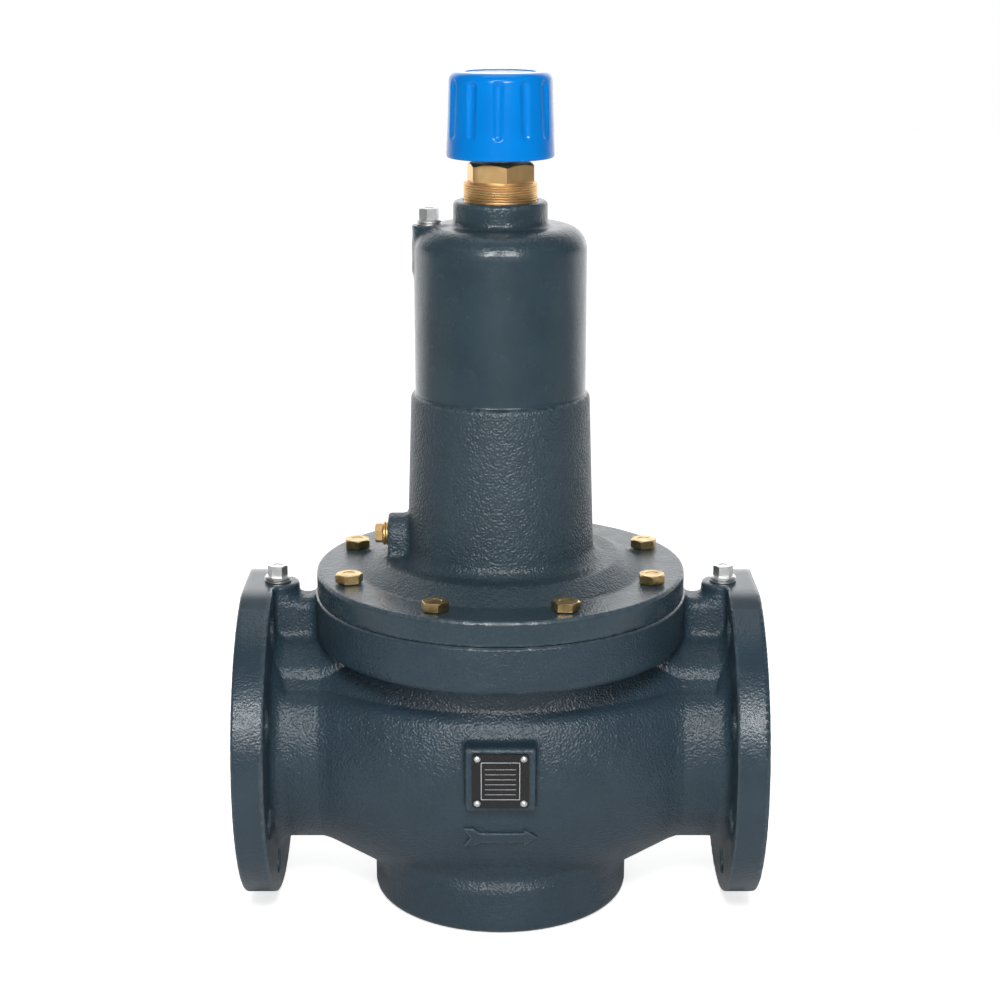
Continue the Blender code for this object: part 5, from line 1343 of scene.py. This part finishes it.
@dataclass
class BonnetCasting:
    """The cast bonnet: diaphragm cover, spring column, neck, vent boss and bleed boss."""

    face_z: float = 0.2135
    flange_z: float = 0.2300
    step_z: float = 0.3485
    top_z: float = 0.4585
    neck_z: float = 0.4745
    flange: float = 0.1231
    column: float = 0.056
    bore: float = 0.050
    bolt_circle: float = 0.1071
    bolt_count: int = 8
    tapped_hole: float = 0.0053
    bleed_x: float = -0.075
    bleed_z: float = 0.2520
    bleed_reach: float = 0.040
    vent_x: float = -0.046
    vent_height: float = 0.029
    step: float = 0.00187

    def outside(self, points: np.ndarray) -> np.ndarray:
        """Distance to the cast outside.

        Args:
            points: places as rows of x, y, z.

        Returns:
            One distance for each point.
        """
        x, y, z = points[:, 0], points[:, 1], points[:, 2]
        cone_z = self.flange_z + 0.0087
        profile = [(OPEN, self.neck_z), *arc((0.0280, self.neck_z - 0.0025), 0.0025, 90, 0, 3)]
        profile += arc((0.0340, self.top_z + 0.0035), 0.0035, 180, 270, 3)
        profile += arc((0.041, self.top_z - 0.015), 0.015, 90, 0, 8)
        profile += [(self.column, self.step_z + 0.0008), (0.0568, self.step_z)]
        profile += arc((0.0560, self.step_z - 0.0028), 0.0028, 80, 0, 3)
        profile += arc((0.0700, cone_z + 0.008), 0.008, 180, 270, 5)
        profile += [(0.0785, cone_z), (0.0805, cone_z - 0.0007)]
        profile += [(0.0948, self.flange_z + 0.0006), (0.0970, self.flange_z)]
        profile += arc((0.1211, self.flange_z - 0.002), 0.002, 90, 0, 3)
        profile += arc((self.flange - 0.0006, self.face_z + 0.0006), 0.0006, 0, -90, 2)
        profile += [(OPEN, self.face_z)]
        whole = turned_distance(profile, points, Axis.STEM)
        boss = outline_distance(self._bleed_outline(), y, z)
        ends = np.abs(x - self.bleed_x - self.bleed_reach / 2) - self.bleed_reach / 2
        edge = 0.002
        out = np.hypot(np.maximum(boss + edge, 0.0), np.maximum(ends + edge, 0.0)) - edge
        whole = smooth_union(whole, out + np.minimum(np.maximum(boss, ends) + edge, 0.0), 0.004)
        beside = np.hypot(x - self.vent_x, y)
        taper = 0.0110 - np.clip((self.top_z - z) / self.vent_height, 0.0, 1.0) * 0.0015
        vent = rod_distance(beside - taper, z, 0.0, self.top_z - self.vent_height, self.top_z)
        foot = np.sqrt(beside**2 + (z - self.top_z + 0.028) ** 2) - 0.0097
        return smooth_union(whole, smooth_union(vent, foot, 0.003), 0.0045)

    def _bleed_outline(self) -> list[tuple[float, float]]:
        """The bleed boss seen along the pipe."""
        crown = arc((0.0, self.bleed_z), 0.014, 0, 180, 8)
        return [*crown, (-0.0148, self.face_z + 0.006), (0.0148, self.face_z + 0.006)]

    def distance(self, points: np.ndarray) -> np.ndarray:
        """Distance to the whole casting.

        Args:
            points: places as rows of x, y, z.

        Returns:
            One distance for each point.
        """
        x, y, z = points[:, 0], points[:, 1], points[:, 2]
        casting = self.outside(points)
        hollow = [(OPEN, 0.49), (0.0243, 0.49), (0.0243, 0.451), (0.044, 0.451), (self.bore, 0.445)]
        hollow += [(self.bore, 0.2392), (0.052, 0.2392), (0.052, 0.2371), (self.bore, 0.2371)]
        hollow += [(self.bore, 0.2291), (0.0633, 0.2291), (0.0914, 0.2175), (0.0914, 0.20), (OPEN, 0.20)]
        inner = turned_distance(hollow, points, Axis.STEM)
        rib = np.maximum(np.abs(x) - 0.003, 0.046 - np.abs(y))
        rib = np.maximum(rib, 0.2592 - z)
        casting = np.maximum(casting, -np.maximum(inner, -rib))
        across, up = folded(x, y, self.bolt_count, math.pi / self.bolt_count)
        holes = np.hypot(across - self.bolt_circle, up) - self.tapped_hole
        casting = np.maximum(casting, -holes)
        vent = rod_distance(np.hypot(x - self.vent_x, y), z, self.tapped_hole, 0.434, 0.47)
        bleed = rod_distance(np.hypot(y, z - self.bleed_z), -x, self.tapped_hole, 0.025, 0.085)
        return np.maximum(casting, -np.minimum(vent, bleed))

    def machined(self, points: np.ndarray) -> np.ndarray:
        """How far each point lies on a turned surface, from 0 to 1.

        Args:
            points: places as rows of x, y, z.

        Returns:
            One share for each point.
        """
        radius, z = np.hypot(points[:, 0], points[:, 1]), points[:, 2]
        upper = np.clip((z - self.step_z + 0.0006) / 0.0008, 0.0, 1.0)
        upper *= np.clip((self.top_z - 0.004 - z) / 0.006, 0.7, 1.0)
        upper *= np.clip((0.0575 - radius) / 0.001, 0.3, 1.0)
        rim = np.clip((radius - 0.1215) / 0.001, 0.0, 1.0)
        deck = np.clip((radius - 0.094) / 0.003, 0.0, 1.0)
        deck *= np.clip((z - self.flange_z + 0.001) / 0.001, 0.0, 1.0)
        return np.maximum.reduce([0.95 * upper, 0.85 * rim, 0.55 * deck])

    def build(self) -> bpy.types.Object:
        """Makes the casting.

        Returns:
            The object, with the point attribute machined.
        """
        low = (-self.flange, -self.flange, self.face_z)
        high = (self.flange, self.flange, self.neck_z)
        piece = Moulding("bonnet_casting", self.distance, low, high, self.step).build()
        mark_machined(piece, self.machined)
        return piece


@dataclass
class KnobGrip:
    """The fluted knob and its cap."""

    low_z: float = 0.5019
    top_z: float = 0.5557
    foot: float = 0.0349
    head: float = 0.0332
    corner: float = 0.0055
    flutes: int = 12
    flute_radius: float = 0.00435
    flute_depth: float = 0.0015
    cap: float = 0.0225
    cap_seat: float = 0.0058
    key: float = 0.0078
    step: float = 0.0007

    def distance(self, points: np.ndarray) -> np.ndarray:
        """Distance to the knob.

        Args:
            points: places as rows of x, y, z.

        Returns:
            One distance for each point.
        """
        x, y, z = points[:, 0], points[:, 1], points[:, 2]
        seat_z = self.top_z - self.cap_seat
        rim = self.cap + 0.0003
        profile = [(OPEN, seat_z - 0.0073), (0.014, seat_z - 0.0073), (0.014, seat_z), (rim, seat_z)]
        profile += [(rim, self.top_z - 0.0004), (rim + 0.0004, self.top_z)]
        profile += arc((self.head - self.corner, self.top_z - self.corner), self.corner, 90, 2, 7)
        profile += arc((self.foot - 0.0014, self.low_z + 0.0014), 0.0014, 0, -90, 4)
        profile += [(self.foot - 0.0034, self.low_z), (self.head - 0.0049, seat_z - 0.010)]
        profile += [(0.015, seat_z - 0.010), (0.015, 0.5122), (OPEN, 0.5122)]
        solid = turned_distance(profile, points, Axis.STEM)
        across, up = folded(x, y, self.flutes, -RIGHT_ANGLE - math.radians(2.6))
        low = self.low_z + 0.0117 + self.flute_radius
        high = self.top_z - 0.0037 - self.flute_radius
        share = np.clip((z - low) / (high - low), 0.0, 1.0)
        out = self.foot - 0.00025 + self.flute_radius - self.flute_depth - (self.foot - self.head) * share
        flute = np.sqrt((across - out) ** 2 + up**2 + (z - np.clip(z, low, high)) ** 2) - self.flute_radius
        solid = smooth_cut(solid, flute, 0.0009)
        square = np.maximum(np.abs(x + y), np.abs(x - y)) / math.sqrt(2) - self.key
        socket = np.maximum(square, z - seat_z + 0.0060)
        return np.maximum(solid, -socket)

    def build(self) -> bpy.types.Object:
        """Makes the knob.

        Returns:
            The object.
        """
        low = (-self.foot, -self.foot, self.low_z)
        high = (self.foot, self.foot, self.top_z)
        return Moulding("knob_grip", self.distance, low, high, self.step).build()

    def build_cap(self) -> bpy.types.Object:
        """Makes the cap, with a turned rim and a shallow dish.

        Returns:
            The object.
        """
        top = self.top_z - 0.0007
        profile = [(0.0002, top - 0.0004), (0.012, top - 0.0004), (0.0175, top - 0.0003), (0.0183, top)]
        profile += arc((self.cap - 0.0006, top - 0.0006), 0.0006, 90, 0, 4)
        profile += [(self.cap, top - 0.0048), (0.0002, top - 0.0048)]
        return lathe("knob_cap_disc", profile, 96)


@dataclass
class GlandNut:
    """The brass gland nut: a threaded collar under a hexagon."""

    thread_z: float = 0.4745
    hexagon_z: float = 0.4872
    top_z: float = 0.4987
    low_z: float = 0.4510
    radius: float = 0.0240
    hole: float = 0.0113
    ring_low: float = 0.4570
    ring_high: float = 0.4606
    ring_root: float = 0.0210
    seal_low: float = 0.4901
    seal_high: float = 0.4937
    seal_root: float = 0.0146
    flats: float = 0.040
    pitch: float = 0.0015
    ridge: float = 0.00066

    def build(self) -> bpy.types.Object:
        """Makes the collar, the hexagon and the bore as one closed piece.

        Returns:
            The object.
        """
        core, relief = self.radius - 0.0008, self.radius - 0.0030
        below = [circle(self.hole, self.low_z), circle(self.radius - 0.0006, self.low_z)]
        below += [circle(self.radius, self.low_z + 0.0006), circle(self.radius, self.ring_low)]
        below += [circle(self.ring_root, self.ring_low), circle(self.ring_root, self.ring_high)]
        below += [circle(self.radius, self.ring_high), circle(self.radius, self.thread_z - 0.0006)]
        below += [circle(core, self.thread_z), circle(core, self.hexagon_z - 0.0011)]
        below += [circle(relief, self.hexagon_z - 0.0008), circle(relief, self.hexagon_z)]
        head = hexagon_rings(self.flats, self.hexagon_z, self.top_z, math.radians(11) - RIGHT_ANGLE)
        mouth = [circle(self.hole + 0.0012, self.top_z - 0.0001), circle(self.hole, self.top_z - 0.0012)]
        pocket = [circle(self.hole, self.seal_high), circle(self.seal_root, self.seal_high)]
        pocket += [circle(self.seal_root, self.seal_low), circle(self.hole, self.seal_low)]
        return stacked("gland_body", below + head + mouth + pocket, True, SMOOTH_ANGLE)

    def build_thread(self, repeats: Repeats, material: bpy.types.Material) -> bpy.types.Object:
        """Makes the thread's ridge as a helix.

        Args:
            repeats: the shared trees.
            material: the brass finish.

        Returns:
            The object.
        """
        piece = add_piece("gland_thread", [], [])
        turns = (self.hexagon_z - self.thread_z - 0.0026) / self.pitch
        repeats.helix.apply(
            piece,
            Turns=turns,
            Points=64,
            Radius=self.radius - self.ridge,
            Rise=turns * self.pitch,
            Start=self.thread_z + 0.0012,
            Wire=self.ridge,
            Sides=6,
            Material=material,
        )
        shade(piece.data)
        return piece


@dataclass
class Fasteners:
    """Bonnet bolts and screw plugs with turned-off hexagon heads."""

    bolt_flats: float = 0.016
    bolt_head: float = 0.0064
    bolt_shank: float = 0.0050
    bolt_reach: float = 0.0337
    plug_flats: float = 0.0115
    plug_head: float = 0.0072
    plug_reach: float = 0.0071
    bleed_head: float = 0.005
    test_shank: float = 0.006
    small_shank: float = 0.005
    washer_low: float = 0.0003
    washer_high: float = 0.0014

    def bolts(
        self, repeats: Repeats, material: bpy.types.Material, bonnet: BonnetCasting
    ) -> bpy.types.Object:
        """Makes the ring of bonnet bolts.

        Args:
            repeats: the shared trees.
            material: the plated finish.
            bonnet: the casting that the bolts hold.

        Returns:
            The object that stands for every bolt.
        """
        core, seat = self.bolt_shank, 0.0003
        shank = [circle(core - 0.001, -self.bolt_reach), circle(core, 0.001 - self.bolt_reach)]
        shank += [circle(core, seat), circle(0.0074, seat), circle(0.0076, seat + 0.0005)]
        head = hexagon_rings(self.bolt_flats, 0.0009, self.bolt_head)
        top = [circle(0.0044, self.bolt_head - 0.0001), circle(0.0040, self.bolt_head - 0.0004)]
        bolt = stacked("bonnet_bolts", shank + head + top, False, HEAD_ANGLE)
        repeats.ring.apply(
            bolt,
            Count=bonnet.bolt_count,
            Radius=bonnet.bolt_circle,
            Height=bonnet.flange_z,
            Phase=math.pi / bonnet.bolt_count,
            Seed=7,
            Material=material,
        )
        return bolt

    def plug(self, name: str, shank: float, head: float) -> bpy.types.Object:
        """Makes one screw plug with its collar and seal washer, standing on the origin.

        Args:
            name: the piece's name.
            shank: radius of the shank.
            head: height of the hexagon.

        Returns:
            The object.
        """
        collar = shank + 0.0029
        lower = [circle(shank - 0.0008, -self.plug_reach), circle(shank, 0.0008 - self.plug_reach)]
        lower += [circle(shank, 0.0019), circle(collar - 0.0003, 0.0019), circle(collar, 0.0022)]
        lower += [circle(collar, 0.0029), circle(collar - 0.0008, 0.0038)]
        lower += [circle(self.plug_flats / 2 + 0.0004, 0.0039)]
        hexagon = hexagon_rings(self.plug_flats, 0.0040, 0.0039 + head)
        top = [circle(0.0034, 0.0038 + head), circle(0.0030, 0.0034 + head)]
        screw = stacked(f"{name}_screw", lower + hexagon + top, False, HEAD_ANGLE)
        hole, low, high = shank + 0.0003, self.washer_low, self.washer_high
        edge = [(hole, high), (collar - 0.0002, high), (collar, high - 0.0002), (collar, low + 0.0001)]
        edge += [(collar - 0.0002, low), (hole, low)]
        return joined(name, [screw, lathe(f"{name}_washer", edge, 48, True)])


@dataclass
class NamePlate:
    """A bare black plate with a pale ruled frame and rules, held by domed rivets."""

    width: float = 0.0364
    height: float = 0.0370
    corner: float = 0.0025
    back_y: float = -0.1156
    front_y: float = -0.1166
    centre_z: float = AXIS_Z + 0.0100
    rivet: float = 0.0022
    rivet_rise: float = 0.0012
    rivet_inset: float = 0.0034

    def _outline(self, inset: float, steps: int) -> list[tuple[float, float]]:
        """The plate's outline, set in by a distance.

        Args:
            inset: distance in from the edge.
            steps: steps in each corner.

        Returns:
            Points as (x, z) about the plate's centre.
        """
        points = []
        corner = max(self.corner - inset, 0.0004)
        for x, z, start in ((1, 1, 0), (-1, 1, 90), (-1, -1, 180), (1, -1, 270)):
            centre = (x * (self.width / 2 - inset - corner), z * (self.height / 2 - inset - corner))
            points += arc(centre, corner, start, start + 90, steps)
        return points

    def _banded(self, name: str, levels: Outline, steps: int, closed: bool) -> bpy.types.Object:
        """A piece from the plate's outline at several insets.

        Args:
            name: the piece's name.
            levels: inset and y of each ring.
            steps: steps in each corner.
            closed: True if the last ring joins the first, False if both ends are capped.

        Returns:
            The object.
        """
        points = []
        for inset, y in levels:
            points += [(x, y, self.centre_z + z) for x, z in self._outline(inset, steps)]
        return add_piece(name, points, rings_to_faces(len(levels), 4 * (steps + 1), closed))

    def build(self) -> bpy.types.Object:
        """Makes the plate with a softened edge.

        Returns:
            The object.
        """
        levels = [(0.0, self.back_y), (0.0, self.front_y + 0.0003), (0.0003, self.front_y)]
        return self._banded("name_plate_panel", levels, 6, False)

    def frame(self) -> bpy.types.Object:
        """Makes the pale line around the plate's field.

        Returns:
            The object.
        """
        low = self.front_y + 0.00001
        high = low - 0.00006
        levels = [(0.0058, low), (0.0058, high), (0.0062, high), (0.0062, low)]
        return self._banded("plate_frame", levels, 2, True)

    def rules(self, repeats: Repeats, material: bpy.types.Material) -> bpy.types.Object:
        """Makes the ruled rows inside the field.

        Args:
            repeats: the shared trees.
            material: the pale finish.

        Returns:
            The object.
        """
        half, tall, thick = 0.0098, 0.00014, 0.00006
        rows = [(-half, -tall), (half, -tall), (half, tall), (-half, tall)]
        points = [(x, y, z) for z in (-0.00001, thick) for x, y in rows]
        faces = [(3, 2, 1, 0), (4, 5, 6, 7), (0, 1, 5, 4), (1, 2, 6, 5), (2, 3, 7, 6), (3, 0, 4, 7)]
        piece = add_piece("plate_rules", points, faces)
        repeats.grid.apply(
            piece,
            Columns=1,
            Rows=6,
            Width=0.0,
            Depth=0.0170,
            Centre=(0.0, self.front_y, self.centre_z - 0.0006),
            Tilt=(RIGHT_ANGLE, 0.0, 0.0),
            Material=material,
        )
        return piece

    def rivets(self, repeats: Repeats, material: bpy.types.Material) -> bpy.types.Object:
        """Makes the four domed rivets.

        Args:
            repeats: the shared trees.
            material: the plated finish.

        Returns:
            The object.
        """
        ball = (self.rivet**2 + self.rivet_rise**2) / (2 * self.rivet_rise)
        spread = math.degrees(math.asin(self.rivet / ball))
        dome = arc((0.0, self.rivet_rise - ball), ball, 89.5, 90 - spread, 7)
        profile = [*dome, (0.0021, -0.0002), (0.0013, -0.0002), (0.0013, -0.0046), (0.0001, -0.0046)]
        piece = lathe("plate_rivets", profile, 32)
        repeats.grid.apply(
            piece,
            Columns=2,
            Rows=2,
            Width=self.width - 2 * self.rivet_inset,
            Depth=self.height - 2 * self.rivet_inset,
            Centre=(0.0, self.front_y - 0.0003, self.centre_z),
            Tilt=(RIGHT_ANGLE, 0.0, 0.0),
            Material=material,
        )
        return piece


@dataclass
class InnerParts:
    """The spring and the diaphragm, which change shape, and the nodes that keep their solids."""

    spring_low: float = 0.2455
    spring_high: float = 0.4183
    spring_split: float = 0.3150
    split_gap: float = 0.0008
    mean: float = 0.036
    wire: float = 0.004
    wire_sides: int = 12
    turn_steps: int = 36
    turns: int = 9
    closed_rise: float = 0.0088
    lift: float = 0.012
    travel: float = 0.040
    slack: float = 0.0002
    disc: float = 0.0619
    disc_hole: float = 0.0073
    disc_low: float = 0.2198
    disc_high: float = 0.2218
    sectors: int = 12
    sector_steps: int = 6
    bend_start: float = 0.0885
    bend_end: float = 0.0630

    @property
    def pitch(self) -> float:
        """Rise of one open turn of the spring."""
        rise = self.spring_high - self.spring_low - 2 * (self.wire + self.closed_rise)
        return rise / (self.turns - 2)

    def _coil(self, name: str, first: float, last: float) -> bpy.types.Object:
        """A stretch of the spring's wire with round ends closed.

        Args:
            name: the piece's name.
            first: the turn it starts at.
            last: the turn it ends at.

        Returns:
            The object.
        """
        turns = np.linspace(first, last, int((last - first) * self.turn_steps) + 1)
        heights = self.spring_low + self.wire + self.closed_rise * np.minimum(turns, 1.0)
        heights = heights + self.pitch * np.clip(turns - 1.0, 0.0, self.turns - 2)
        heights = heights + self.closed_rise * np.clip(turns - self.turns + 1, 0.0, None)
        sides = np.linspace(0.0, 2 * math.pi, self.wire_sides, endpoint=False)
        points = []
        for turn, height in zip(turns, heights):
            a = 2 * math.pi * turn
            for b in sides:
                r = self.mean + self.wire * math.cos(b)
                points.append((r * math.cos(a), r * math.sin(a), height + self.wire * math.sin(b)))
        return add_piece(name, points, rings_to_faces(len(turns), self.wire_sides, False))

    def spring(self, material: bpy.types.Material) -> None:
        """Makes the spring in two stretches, one for each motion that shortens it.

        Args:
            material: the spring's finish.
        """
        first_open = self.spring_low + self.wire + self.closed_rise
        split_turn = 1.0 + (self.spring_split - first_open) / self.pitch
        lower = self._coil("spring_lower", 0.0, split_turn - self.split_gap)
        upper = self._coil("spring_upper", split_turn, float(self.turns))
        mount(lower, Body.VALVE, material, ["reference_spring"])
        mount(upper, Body.TRIM, material)
        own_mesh(lower)
        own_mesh(upper)

    def diaphragm(self, material: bpy.types.Material) -> None:
        """Makes the diaphragm as a disc on the stem and a web of sectors that bend down to the rim.

        Args:
            material: the rubber finish.
        """
        top, low = self.disc_high, self.disc_low
        disc = [(self.disc_hole, top), (self.disc, top), (self.disc, low), (self.disc_hole, low)]
        mount(lathe("diaphragm_disc", disc, 96, True), Body.TRIM, material, ["diaphragm"])
        upper = [(0.0620, top), (0.0645, 0.2231), (0.0669, 0.2239), (0.0693, 0.2240), (0.0717, 0.2230)]
        upper += [(0.0786, 0.2195), (0.0854, 0.2159), (0.0904, 0.2132), (0.0991, 0.2132)]
        lower = [(0.0991, 0.2099), (0.0884, 0.2099), (0.0834, 0.2148), (0.0770, 0.2183), (0.0707, 0.2209)]
        lower += [(0.0690, 0.2219), (0.0669, 0.2219), (0.0645, 0.2211), (0.0620, low)]
        profile = upper + lower
        half = math.pi / self.sectors
        faces = rings_to_faces(self.sector_steps + 1, len(profile), False)
        for i in range(self.sectors):
            middle = 2 * half * i
            angles = np.linspace(middle - half, middle + half, self.sector_steps + 1)
            points = [(r * math.cos(a), r * math.sin(a), z) for a in angles for r, z in profile]
            sector = add_piece(f"diaphragm_web_{i + 1}", points, faces)
            sector.data.materials.append(material)
            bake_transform(sector)

    @staticmethod
    def keep_nodes(frame: dict, finishes: Finishes) -> None:
        """Gives the nodes that keep their solids a finished material.

        Args:
            frame: the loaded frame.
            finishes: every finish.
        """
        by_slot = {
            Slot.STEEL: finishes.steel,
            Slot.SPRING: finishes.spring,
            Slot.ZINC: finishes.zinc,
            Slot.GOLD_ZINC: finishes.gold_zinc,
            Slot.BRASS: finishes.brass,
            Slot.RUBBER: finishes.rubber,
            Slot.CAST: finishes.body_paint,
            Slot.BLUE: finishes.blue,
            Slot.PALE: finishes.pale,
            Slot.BLACK: finishes.black,
        }
        for entry in frame["record"]["subparts"]:
            node = frame["nodes"][entry["node"]]
            material = by_slot[Slot(entry["material_slot"])]
            node.data.materials.clear()
            node.data.materials.append(material)


@dataclass
class Studio:
    """Camera, floor, world and lamps."""

    camera_place: tuple[float, float, float] = (-0.0003, -1.328, 0.6327)
    camera_tilt: float = 74.92
    lens: float = 74.16
    front_glow: float = 0.09
    back_glow: float = 2.0
    # glow of the floor behind the object, seen only in reflections: a painted reflection
    floor_glow: float = 1.25
    floor_white: float = 0.74
    aim: tuple[float, float, float] = (0.0, 0.0, 0.25)

    def camera(self) -> None:
        """Sets the camera at the photograph's viewing angle."""
        data = bpy.data.cameras.new("camera")
        data.lens = self.lens
        data.sensor_width = 36.0
        data.dof.use_dof = False
        camera = bpy.data.objects.new("camera", data)
        camera.location = self.camera_place
        camera.rotation_euler = (math.radians(self.camera_tilt), 0.0, 0.0)
        bpy.context.scene.collection.objects.link(camera)
        bpy.context.scene.camera = camera

    def floor(self) -> None:
        """Lays a pale floor that keeps a soft shadow; in reflections it turns dark in front of the object as
        painted shade, and glows behind it as a painted reflection.
        """
        floor = add_piece("floor", [(-6, -6, 0), (6, -6, 0), (6, 6, 0), (-6, 6, 0)], [(0, 1, 2, 3)])
        floor.location.z = -0.0004
        sheet = ShaderSheet("pale_floor")
        cloud = sheet.between(sheet.cloud(3.0, 2.0), 0.3, 0.7, 0.0, 1.0)
        pale = sheet.mixed(cloud, (0.80, 0.80, 0.80), (0.82, 0.82, 0.82))
        path = sheet.add("ShaderNodeLightPath").outputs
        depth = sheet.add("ShaderNodeSeparateXYZ", {0: sheet.coords}).outputs["Y"]
        # Painted reflection: only to glossy rays, the floor is painted dark in front of the object and glows
        # behind it.
        ahead = sheet.between(depth, -0.80, -0.45, 1.0, 0.0)
        behind = sheet.between(depth, 0.65, 1.35, 0.0, self.floor_glow)
        mirrored = sheet.math("MULTIPLY", path["Is Glossy Ray"], behind)
        seen = sheet.math("MULTIPLY", path["Is Camera Ray"], self.floor_white)
        dark = sheet.math("MULTIPLY", path["Is Glossy Ray"], ahead)
        sheet.drive(
            Base_Color=sheet.mixed(dark, pale, (0.08, 0.08, 0.08)),
            Roughness=0.9,
            Specular_IOR_Level=0.1,
            Emission_Color=(1.0, 1.0, 1.0, 1.0),
            Emission_Strength=sheet.math("ADD", mirrored, seen),
        )
        floor.data.materials.append(sheet.material)

    def world(self) -> None:
        """Shows white to the camera, and lights the object from a bright back and a dark front."""
        world = bpy.data.worlds.new("studio")
        bpy.context.scene.world = world
        world.use_nodes = True
        wiring = Wiring(world.node_tree)
        way = wiring.add("ShaderNodeTexCoord").outputs["Generated"]
        depth = wiring.add("ShaderNodeSeparateXYZ", {0: way}).outputs["Y"]
        glow = wiring.between(depth, 0.45, 0.85, self.front_glow, self.back_glow)
        seen = wiring.add("ShaderNodeLightPath").outputs["Is Camera Ray"]
        sky = wiring.tree.nodes["Background"].inputs
        wiring.feed(sky["Color"], (1.0, 1.0, 1.0, 1.0))
        wiring.feed(sky["Strength"], wiring.between(seen, 0.0, 1.0, glow, 1.0))

    def lamp(self, name: str, place: Sequence[float], size: tuple, power: float, **shows: bool) -> None:
        """Adds a soft box.

        Args:
            name: the lamp's name.
            place: where it hangs.
            size: width and height.
            power: its power in watts.
            shows: kinds of ray, as in visible_glossy, that the lamp is kept from with False.
        """
        data = bpy.data.lights.new(name, "AREA")
        data.shape = "RECTANGLE"
        data.size, data.size_y = size
        data.energy = power
        lamp = bpy.data.objects.new(name, data)
        lamp.location = place
        lamp.rotation_euler = (Vector(self.aim) - Vector(place)).to_track_quat("-Z", "Y").to_euler()
        for ray, seen in shows.items():
            setattr(lamp, ray, seen)
        bpy.context.scene.collection.objects.link(lamp)

    def build(self) -> None:
        """Builds the whole studio."""
        bpy.context.scene.view_settings.view_transform = "Standard"
        self.camera()
        self.floor()
        self.world()
        self.lamp("left_key", (-0.5, -2.0, 1.12), (0.45, 0.6), 21.0, visible_diffuse=False)
        self.lamp("right_key", (0.5, -2.0, 1.12), (0.45, 0.6), 21.0, visible_diffuse=False)
        self.lamp("upper_box", (0.0, -1.6, 1.6), (0.7, 0.5), 32.0, visible_glossy=False)
        self.lamp("top_box", (0.0, 0.3, 2.2), (1.2, 1.0), 5.0)
        self.lamp("low_fill", (0.0, -1.7, 0.12), (0.9, 0.2), 8.0, visible_glossy=False)


def dress_valve(finishes: Finishes, repeats: Repeats) -> None:
    """Builds every piece that stands for a node.

    Args:
        finishes: every finish.
        repeats: the shared trees.
    """
    casting = BodyCasting()
    mount(casting.build(), Body.VALVE, finishes.body_paint, ["valve_body"])
    mount(casting.arrow(), Body.VALVE, finishes.body_paint)
    bonnet = BonnetCasting()
    mount(bonnet.build(), Body.VALVE, finishes.bonnet_paint, ["bonnet"])
    knob = KnobGrip()
    mount(knob.build(), Body.KNOB, finishes.blue, ["knob"])
    mount(knob.build_cap(), Body.KNOB, finishes.pale, ["knob_cap"])
    gland = GlandNut()
    mount(gland.build(), Body.VALVE, finishes.brass, ["gland_nut"])
    mount(gland.build_thread(repeats, finishes.brass), Body.VALVE, finishes.brass)
    fasteners = Fasteners()
    bolts = fasteners.bolts(repeats, finishes.gold_zinc, bonnet)
    bolt_nodes = [f"bonnet_bolt_{i}" for i in range(1, bonnet.bolt_count + 1)]
    mount(bolts, Body.VALVE, finishes.gold_zinc, bolt_nodes)
    tests = fasteners.plug("test_plugs", fasteners.test_shank, fasteners.plug_head)
    repeats.grid.apply(
        tests,
        Columns=2,
        Rows=1,
        Width=2 * casting.boss_x,
        Depth=0.0,
        Centre=(0.0, 0.0, casting.flat_z),
        Tilt=(0.0, 0.0, 0.0),
        Material=finishes.zinc,
    )
    test_nodes = ["inlet_test_plug", "outlet_test_plug", "inlet_test_washer", "outlet_test_washer"]
    mount(tests, Body.VALVE, finishes.zinc, test_nodes)
    vent = fasteners.plug("vent_screw", fasteners.small_shank, fasteners.plug_head)
    vent_place = Matrix.Translation((bonnet.vent_x, 0.0, bonnet.top_z))
    vent.data.transform(vent_place @ Matrix.Rotation(0.35, 4, "Z"))
    mount(vent, Body.VALVE, finishes.zinc, ["vent_plug", "vent_washer"])
    bleed = fasteners.plug("bleed_screw", fasteners.small_shank, fasteners.bleed_head)
    bleed_place = Matrix.Translation((bonnet.bleed_x, 0.0, bonnet.bleed_z))
    bleed.data.transform(bleed_place @ Matrix.Rotation(-RIGHT_ANGLE, 4, "Y"))
    mount(bleed, Body.VALVE, finishes.brass, ["bleed_plug", "bleed_washer"])
    plate = NamePlate()
    mount(plate.build(), Body.VALVE, finishes.black, ["name_plate"])
    mount(plate.frame(), Body.VALVE, finishes.rule)
    mount(plate.rules(repeats, finishes.rule), Body.VALVE, finishes.rule)
    rivet_nodes = [f"rivet_{i}" for i in range(1, 5)]
    mount(plate.rivets(repeats, finishes.zinc), Body.VALVE, finishes.zinc, rivet_nodes)


def main() -> None:
    """Loads the frame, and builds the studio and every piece."""
    logging.basicConfig(level=logging.INFO, format="%(name)s: %(message)s")
    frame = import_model()
    Studio().build()
    finishes = Finishes(SharedEffects())
    repeats = Repeats()
    InnerParts.keep_nodes(frame, finishes)
    dress_valve(finishes, repeats)
    inner = InnerParts()
    inner.spring(finishes.spring)
    inner.diaphragm(finishes.rubber)


if __name__ == "__main__":
    main()
